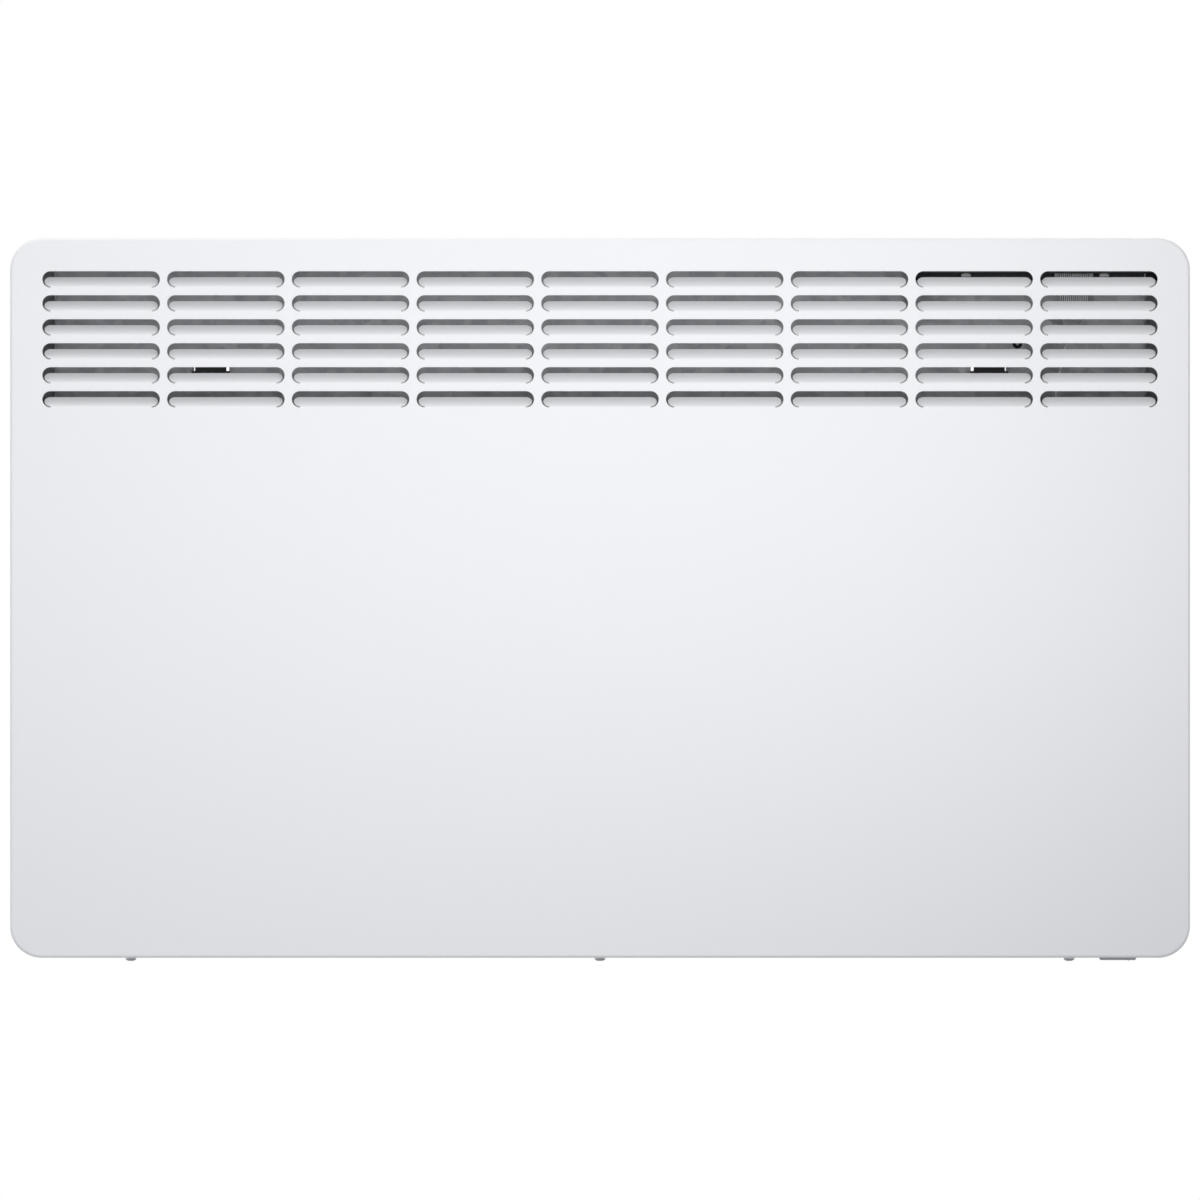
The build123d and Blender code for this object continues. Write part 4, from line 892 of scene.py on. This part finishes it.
class HEATER_OT_ribbon(bpy.types.Operator):
    """Make the ribbed flat cable that turns edge on"""

    bl_idname = "heater.ribbon"
    bl_label = "Flat cable"

    # heights at which the cable starts and ends its turn and its slant, and its step sideways
    TURN_TOP = 184.0 * MM
    TURN_LOW = 165.5 * MM
    FALL_LOW = 130.5 * MM
    SLANT = 7.8 * MM
    TURN_STEPS = 20
    # upright length just above the turn, and the share of the turn that goes evenly
    UPRIGHT = 0.4 * MM
    EVEN_SHARE = 0.6
    # section of one wire: place across it, from 0 to 1, of its web and its round
    WEB_ENDS = (0.2, 0.8)
    WIRE_ENDS = (0.3, 0.7)
    POINTS = 4
    WEB_EDGE = 3
    CONTACT_MARGIN = 1.0 * MM

    def execute(self, context):
        sizes = context.scene.heater_fittings
        low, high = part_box("ribbon_cable")
        middle_y = (low.y + high.y) / 2
        low_x = low.x + sizes.ribbon_wire / 2
        high_x = high.x - sizes.conductors * sizes.conductor_pitch / 2
        mid_x = low_x + self.SLANT
        stations = [(high_x, high.z, 0.0), (high_x, self.TURN_TOP + self.UPRIGHT, 0.0)]
        for i in range(self.TURN_STEPS + 1):
            share = i / self.TURN_STEPS
            eased = share * share * (3 - 2 * share)
            x = high_x + (mid_x - high_x) * share
            z = self.TURN_TOP + (self.TURN_LOW - self.TURN_TOP) * share
            turned = self.EVEN_SHARE * share + (1 - self.EVEN_SHARE) * eased
            stations.append((x, z, 90 * turned))
        stations += [(low_x, self.FALL_LOW, 90.0), (low_x, low.z, 90.0)]
        mesh = bmesh.new()
        loops = [self.section(mesh, sizes, middle_y, *station) for station in stations]
        loft(mesh, loops)
        self.mark_webs(mesh, sizes)
        close_ends(mesh, loops)
        piece = new_piece("ribbed_flat_cable", mesh, finish_of("ribbon"), sharp=radians(50))
        # the darker second material is painted shade in the grooves between the wires
        piece.data.materials.append(finish_of("ribbon_web"))
        stand_for(piece, "ribbon_cable")
        self.add_contacts(sizes)
        return {"FINISHED"}

    def add_contacts(self, sizes):
        """Upright ribs on the socket's front, one over each wire."""
        low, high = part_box("ribbon_socket")
        mesh = bmesh.new()
        tall = high.z - low.z - self.CONTACT_MARGIN
        size = Vector((sizes.contact_width, 2 * sizes.contact_rise, tall))
        for i in range(sizes.conductors):
            across = (i - (sizes.conductors - 1) / 2) * sizes.conductor_pitch
            place = Vector(((low.x + high.x) / 2 + across, low.y, (low.z + high.z) / 2))
            bmesh.ops.create_cube(mesh, size=1.0, matrix=Matrix.LocRotScale(place, None, size))
        piece = new_piece("socket_contacts", mesh, finish_of("ribbon"))
        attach(piece, "root")

    def mark_webs(self, mesh, sizes):
        """Gives the faces of the grooves the web's darker material, which is painted shade."""
        one_side = self.POINTS * sizes.conductors
        for i, face in enumerate(mesh.faces):
            if i % one_side % self.POINTS == self.WEB_EDGE:
                face.material_index = 1

    def section(self, mesh, sizes, middle_y, x, z, turn):
        """Ribbed section at one height, turned about the vertical, in degrees."""
        half_wire, half_web = sizes.ribbon_wire / 2, sizes.ribbon_web / 2
        pitch = sizes.conductor_pitch
        half_width = pitch * sizes.conductors / 2
        profile = (
            (self.WEB_ENDS[0], half_web),
            (self.WIRE_ENDS[0], half_wire),
            (self.WIRE_ENDS[1], half_wire),
            (self.WEB_ENDS[1], half_web),
        )
        side = []
        for i in range(sizes.conductors):
            left = i * pitch - half_width
            side += [(left + share * pitch, height) for share, height in profile]
        outline = [(a, -b) for a, b in side] + side[::-1]
        along, across = cos(radians(turn)), sin(radians(turn))
        points = [(a * along - b * across, a * across + b * along) for a, b in outline]
        return new_loop(mesh, [(x + dx, middle_y + dy, z) for dx, dy in points])


class HEATER_OT_guards(bpy.types.Operator):
    """Make the thin walls behind the louvres: duct sides, partition top, and the tub's black skirt and
    lip, which paint shade
    """

    bl_idname = "heater.guards"
    bl_label = "Guards behind the louvres"

    # thickness of the rear panel's lid, under which the left duct side ends
    LID_SHEET = 1.0 * MM
    BROKEN_EDGE = 0.2 * MM

    def execute(self, context):
        sizes = context.scene.heater_fittings
        gap = sizes.guard_gap
        shield_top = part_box("heat_shield")[1]
        partition_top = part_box("partition")[1]
        tub_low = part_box("control_housing")[0]
        side_x = COVER_HIGH.x - sizes.guard_side
        front_y = COVER_LOW.y + sizes.guard_front
        under_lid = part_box("rear_panel")[1].z - self.LID_SHEET - gap
        rear_y = shield_top.y
        # each guard's place across, the side of its flange and its top
        guards = {
            "duct_side_left": (-side_x, -1, under_lid),
            "duct_side_right": (side_x, 1, tub_low.z - gap),
            "partition_top": (partition_top.x, 1, partition_top.z + sizes.partition_rise),
        }
        for name, (x, side, top_z) in guards.items():
            self.add_guard(sizes, name, x, side, (front_y, rear_y), (shield_top.z + gap, top_z))
        self.add_shade_sheets(sizes, tub_low, rear_y - gap)
        return {"FINISHED"}

    def add_guard(self, sizes, name, x, side, reach, levels):
        """Sheet that stands on the rear panel with a flange folded to one side."""
        front_y, rear_y = reach
        sheet = sizes.guard_sheet
        bend = 2 * sheet
        outer = arc((bend, rear_y - bend), bend, 180, 90, BEND_STEPS)
        inner = arc((bend, rear_y - bend), bend - sheet, 90, 180, BEND_STEPS)
        section = [(0.0, front_y), *outer, (sizes.guard_flange, rear_y)]
        section += [(sizes.guard_flange, rear_y - sheet), *inner, (sheet, front_y)]
        self.extrude(name, "galvanised", [(x + side * across, y) for across, y in section], levels)

    def add_shade_sheets(self, sizes, tub_low, rear_y):
        """Black sheets hung below the tub's floor, at its left end and as a low lip along it, as
        painted shade below the tub.
        """
        wall = sizes.skirt_wall
        tub_high_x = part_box("control_housing")[1].x
        lip_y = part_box("ribbon_socket")[1].y + sizes.guard_gap
        walls = {
            "tub_skirt": (tub_low.x, tub_low.x + wall, tub_low.y, rear_y, sizes.skirt_drop),
            "tub_lip": (tub_low.x + wall, tub_high_x, lip_y, lip_y + wall, sizes.lip_drop),
        }
        for name, (left, right, front, rear, drop) in walls.items():
            section = [(left, front), (right, front), (right, rear), (left, rear)]
            # black plastic, so that these sheets paint shade under the tub
            self.extrude(name, "black_plastic", section, (tub_low.z - drop, tub_low.z))

    def extrude(self, name, slot, section, levels):
        """Upright piece of one section, with its edges broken."""
        mesh = bmesh.new()
        add_prism(mesh, section, levels)
        piece = new_piece(name, mesh, finish_of(slot))
        round_edges(piece, self.BROKEN_EDGE)
        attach(piece, "root")


class HEATER_OT_rear_plug(bpy.types.Operator):
    """Make the plug of the rear panel, whose open middle shows the plate"""

    bl_idname = "heater.rear_plug"
    bl_label = "Rear plug"

    # shares of the plug's height at which its flank ends and its open middle lies
    FLANK = 0.45
    DISH = 0.15

    def execute(self, context):
        sizes = context.scene.heater_fittings
        low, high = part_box("blanking_plug")
        centre = (low + high) / 2
        rim, bore = (high.x - low.x) / 2, sizes.plug_bore
        crown = high.y - low.y
        profile = crown_profile(rim, (rim - bore) / 2, crown, self.FLANK, 180)
        profile.append((bore, self.DISH * crown))
        mesh = bmesh.new()
        rings = []
        for radius, rise in profile:
            outline = circle((centre.x, centre.z), radius, TURNED_POINTS)
            rings.append(new_loop(mesh, [(x, high.y - rise, z) for x, z in outline]))
        loft(mesh, rings)
        close_ends(mesh, rings)
        mesh.faces.ensure_lookup_table()
        mesh.faces[-1].material_index = 1
        piece = new_piece("open_rear_plug", mesh, finish_of("black_plastic"))
        piece.data.materials.append(finish_of("galvanised"))
        stand_for(piece, "blanking_plug")
        return {"FINISHED"}


MOULDED_NODES = (
    "latch_left", "latch_right", "switch_housing", "switch_rocker", "ribbon_socket", "ribbon_plug",
    "sensor_clip", "suppressor", "power_relay", "transformer", "terminal_block", "button_minus",
    "button_plus", "button_mode", "button_standby", "control_housing", "control_bezel",
    "cable_gland",
)
FOLDED_NODES = (
    "bracket_leg_left", "bracket_leg_right", "bracket_crossbar_upper", "bracket_crossbar_lower",
    "partition", "heat_shield", "heater_bracket_left", "heater_bracket_right",
)


class HEATER_OT_moulded_pieces(bpy.types.Operator):
    """Round the edges of the moulded pieces"""

    bl_idname = "heater.moulded_pieces"
    bl_label = "Moulded pieces"

    def execute(self, context):
        sizes = context.scene.heater_fittings
        for node in MOULDED_NODES:
            rounded_copy(node, sizes.moulded_edge)
        rounded_copy("board_spacers", sizes.spacer_edge, segments=4)
        return {"FINISHED"}


class HEATER_OT_folded_sheets(bpy.types.Operator):
    """Round the edges of the folded sheets"""

    bl_idname = "heater.folded_sheets"
    bl_label = "Folded sheets"

    def execute(self, context):
        for node in FOLDED_NODES:
            rounded_copy(node, context.scene.heater_fittings.folded_edge)
        return {"FINISHED"}


class HEATER_OT_symbols(bpy.types.Operator):
    """Print the symbols on the buttons"""

    bl_idname = "heater.symbols"
    bl_label = "Button symbols"

    # half lengths of the bars and lines, the step between lines, and the standby ring
    BAR = 2.2 * MM
    MODE_LINE = 2.0 * MM
    MODE_STEP = 1.5 * MM
    RING_RADIUS = 2.0 * MM
    RING_DROP = 0.3 * MM
    RING_ENDS = (125, 415)
    RING_STEPS = 24
    STEM = 1.1 * MM
    STEM_RISE = 1.5 * MM

    def execute(self, context):
        sizes = context.scene.heater_fittings
        half_line = sizes.print_line / 2
        across = self.strip(0, self.BAR, half_line)
        symbols = {
            "button_minus": [across],
            "button_plus": [across, self.strip(0, half_line, self.BAR)],
            "button_mode": [
                self.strip(step * self.MODE_STEP, self.MODE_LINE, half_line) for step in (-1, 0, 1)
            ],
            "button_standby": [
                self.ring(half_line), self.strip(self.STEM_RISE, half_line, self.STEM)
            ],
        }
        for node, outlines in symbols.items():
            low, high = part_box(node)
            centre = (low + high) / 2
            mesh = bmesh.new()
            for outline in outlines:
                placed = [(centre.x + x, centre.y + y) for x, y in outline]
                add_prism(mesh, placed, (high.z, high.z + sizes.print_height))
            ride_with(new_piece(f"{node}_symbol", mesh, finish_of("ink")), node)
        return {"FINISHED"}

    def strip(self, y, half_x, half_y):
        """Corners of a printed bar, by its height on the button."""
        low, high = y - half_y, y + half_y
        return [(-half_x, low), (half_x, low), (half_x, high), (-half_x, high)]

    def ring(self, half_line):
        """Outline of an open ring."""
        centre = (0, -self.RING_DROP)
        start, stop = self.RING_ENDS
        outer = arc(centre, self.RING_RADIUS + half_line, start, stop, self.RING_STEPS)
        inner = arc(centre, self.RING_RADIUS - half_line, stop, start, self.RING_STEPS)
        return outer + inner


class HEATER_OT_finishes(bpy.types.Operator):
    """Give every piece of the frame its finish"""

    bl_idname = "heater.finishes"
    bl_label = "Finishes"

    def execute(self, context):
        for node, piece in frame["nodes"].items():
            for slot in piece.material_slots:
                slot.material = finish_of(SLOT_OF_NODE[node])
        return {"FINISHED"}


# ---------------------------------------------------------------- studio
def seen_directly(tree):
    """1 for what the camera sees, directly, in a reflection or through glass."""
    path = add_node(tree, "ShaderNodeLightPath")
    total = path.outputs["Is Camera Ray"]
    for name in ("Is Glossy Ray", "Is Transmission Ray"):
        total = add_node(
            tree, "ShaderNodeMath", {"operation": "MAXIMUM"}, _0=total, _1=path.outputs[name]
        ).outputs[0]
    return total


class HEATER_OT_studio(bpy.types.Operator):
    """Make the floor, the lamps and the camera"""

    bl_idname = "heater.studio"
    bl_label = "Studio"

    FLOOR_POINTS = 120
    SKY_COLOUR = (0.98, 0.98, 1.0, 1.0)
    CAMERA_REACH = 100.0
    # each lamp's size across and up, its place and the point that it faces, in metres
    LAMPS = {
        "front_lamp": ((1.12, 0.6), (-0.05, -0.96, 0.15), (-0.5, COVER_LOW.y, 0.5)),
        "upper_lamp": ((0.8, 0.8), (-0.62, -0.46, 1.64), (0.0, COVER_LOW.y, 0.05)),
        "side_lamp": ((0.8, 0.8), (-1.0, 0.0, 1.5), (0.0, COVER_LOW.y, 0.1)),
        "left_lamp": ((0.8, 0.8), (-1.5, 0.4, 0.0), (0.0, COVER_LOW.y, 0.1)),
        "right_lamp": ((0.8, 0.8), (1.5, 0.4, 0.2), (0.0, COVER_LOW.y, 0.0)),
        "top_lamp": ((1.0, 0.6), (-0.3, 0.3, 1.5), (0.0, 0.0, 0.2)),
        "rear_lamp": ((1.2, 0.8), (0.3, 1.6, 0.5), (0.0, 0.0, 0.0)),
    }

    def execute(self, context):
        studio = context.scene.heater_studio
        self.make_floor(context, studio)
        self.make_world(context, studio)
        self.make_lamps(context, studio)
        self.make_camera(context, studio)
        context.scene.view_settings.view_transform = "Standard"
        return {"FINISHED"}

    def make_floor(self, context, studio):
        """Round plain floor that turns white away from the heater."""
        mesh = bmesh.new()
        outline = circle((0, 0), studio.floor_radius, self.FLOOR_POINTS)
        mesh.faces.new(new_loop(mesh, [(x, y, -studio.floor_drop) for x, y in outline]))
        paint = self.floor_material(context, studio)
        floor = new_piece("studio_floor", mesh, paint, outward=False)

    def floor_material(self, context, studio):
        """Matt painted floor near the heater; the plain white of the background beyond."""
        material, tree, shader, place = start_material(
            "matt_painted_floor", context.scene.heater_finishes.floor, 0.9
        )
        across = add_node(tree, "ShaderNodeVectorMath", {"operation": "LENGTH"}, _0=place)
        away = add_node(
            tree,
            "ShaderNodeMapRange",
            {"interpolation_type": "SMOOTHSTEP"},
            Value=across.outputs["Value"],
            From_Min=sqrt(studio.floor_plain**2 + studio.floor_drop**2),
            From_Max=sqrt(studio.floor_fade**2 + studio.floor_drop**2),
        )
        share = add_node(
            tree,
            "ShaderNodeMath",
            {"operation": "MULTIPLY"},
            _0=away.outputs["Result"],
            _1=seen_directly(tree),
        )
        white = add_node(tree, "ShaderNodeEmission", Strength=1.0)
        mixed = add_node(
            tree,
            "ShaderNodeMixShader",
            _0=share.outputs[0],
            _1=shader.outputs[0],
            _2=white.outputs[0],
        )
        tree.links.new(mixed.outputs[0], tree.nodes["Material Output"].inputs["Surface"])
        return material

    def make_world(self, context, studio):
        """White background for the camera, soft light of its own strength on the heater."""
        world = bpy.data.worlds.new("studio")
        world.use_nodes = True
        tree = world.node_tree
        light = tree.nodes["Background"]
        light.inputs["Color"].default_value = self.SKY_COLOUR
        light.inputs["Strength"].default_value = studio.ambient
        white = add_node(tree, "ShaderNodeBackground", Strength=1.0, Color=(1.0, 1.0, 1.0, 1.0))
        mixed = add_node(
            tree,
            "ShaderNodeMixShader",
            _0=seen_directly(tree),
            _1=light.outputs[0],
            _2=white.outputs[0],
        )
        tree.links.new(mixed.outputs[0], tree.nodes["World Output"].inputs["Surface"])
        context.scene.world = world

    def make_lamps(self, context, studio):
        """Soft lamps that the camera doesn't see, each turned to the casing."""
        for name, (size, place, aim) in self.LAMPS.items():
            self.add_lamp(context, name, getattr(studio, name), size, place, aim)

    def add_lamp(self, context, name, watts, size, place, aim):
        """Rectangular soft lamp that faces a point."""
        light = bpy.data.lights.new(name, "AREA")
        light.shape = "RECTANGLE"
        light.size, light.size_y = size
        light.energy = watts
        lamp = bpy.data.objects.new(name, light)
        lamp.location = place
        towards = Vector(aim) - lamp.location
        lamp.rotation_euler = towards.to_track_quat("-Z", "Y").to_euler()
        lamp.visible_camera = False
        context.scene.collection.objects.link(lamp)

    def make_camera(self, context, studio):
        """Camera straight in front, at the picture's centre."""
        data = bpy.data.cameras.new("camera")
        data.sensor_fit = "HORIZONTAL"
        data.lens = data.sensor_width * studio.camera_distance / studio.picture_width
        data.clip_end = self.CAMERA_REACH
        camera = bpy.data.objects.new("camera", data)
        camera.location = (0.0, COVER_LOW.y - studio.camera_distance, -studio.picture_drop)
        camera.rotation_euler = (pi / 2, 0.0, 0.0)
        context.scene.collection.objects.link(camera)
        context.scene.camera = camera


# ---------------------------------------------------------------- sidebar and registration
class HEATER_PT_sidebar(bpy.types.Panel):
    """Lists the heater's sizes, colours and steps"""

    bl_idname = "HEATER_PT_sidebar"
    bl_label = "Panel heater"
    bl_space_type = "VIEW_3D"
    bl_region_type = "UI"
    bl_category = "Heater"

    def draw(self, context):
        for group in SETTINGS:
            box = self.layout.box()
            settings = getattr(context.scene, group)
            for name in settings.__annotations__:
                box.prop(settings, name)
        for operator in OPERATORS:
            self.layout.operator(operator.bl_idname)


OPERATORS = (
    HEATER_OT_studio,
    HEATER_OT_finishes,
    HEATER_OT_front_cover,
    HEATER_OT_screws,
    HEATER_OT_ribbon,
    HEATER_OT_guards,
    HEATER_OT_rear_plug,
    HEATER_OT_moulded_pieces,
    HEATER_OT_folded_sheets,
    HEATER_OT_symbols,
)
SETTINGS = {
    "heater_cover": HeaterCoverSettings,
    "heater_fittings": HeaterFittingSettings,
    "heater_finishes": HeaterFinishSettings,
    "heater_studio": HeaterStudioSettings,
}


def register():
    """Registers the settings, the operators and the sidebar."""
    for name, group in SETTINGS.items():
        bpy.utils.register_class(group)
        setattr(bpy.types.Scene, name, PointerProperty(type=group))
    for kind in (*OPERATORS, HEATER_PT_sidebar):
        bpy.utils.register_class(kind)


def unregister():
    """Takes the sidebar, the operators and the settings out again."""
    for kind in (HEATER_PT_sidebar, *reversed(OPERATORS)):
        bpy.utils.unregister_class(kind)
    for name, group in SETTINGS.items():
        delattr(bpy.types.Scene, name)
        bpy.utils.unregister_class(group)


def main():
    """Makes the scene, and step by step."""
    register()
    for operator in OPERATORS:
        getattr(bpy.ops.heater, operator.bl_idname.split(".")[1])()


if __name__ == "__main__":
    main()
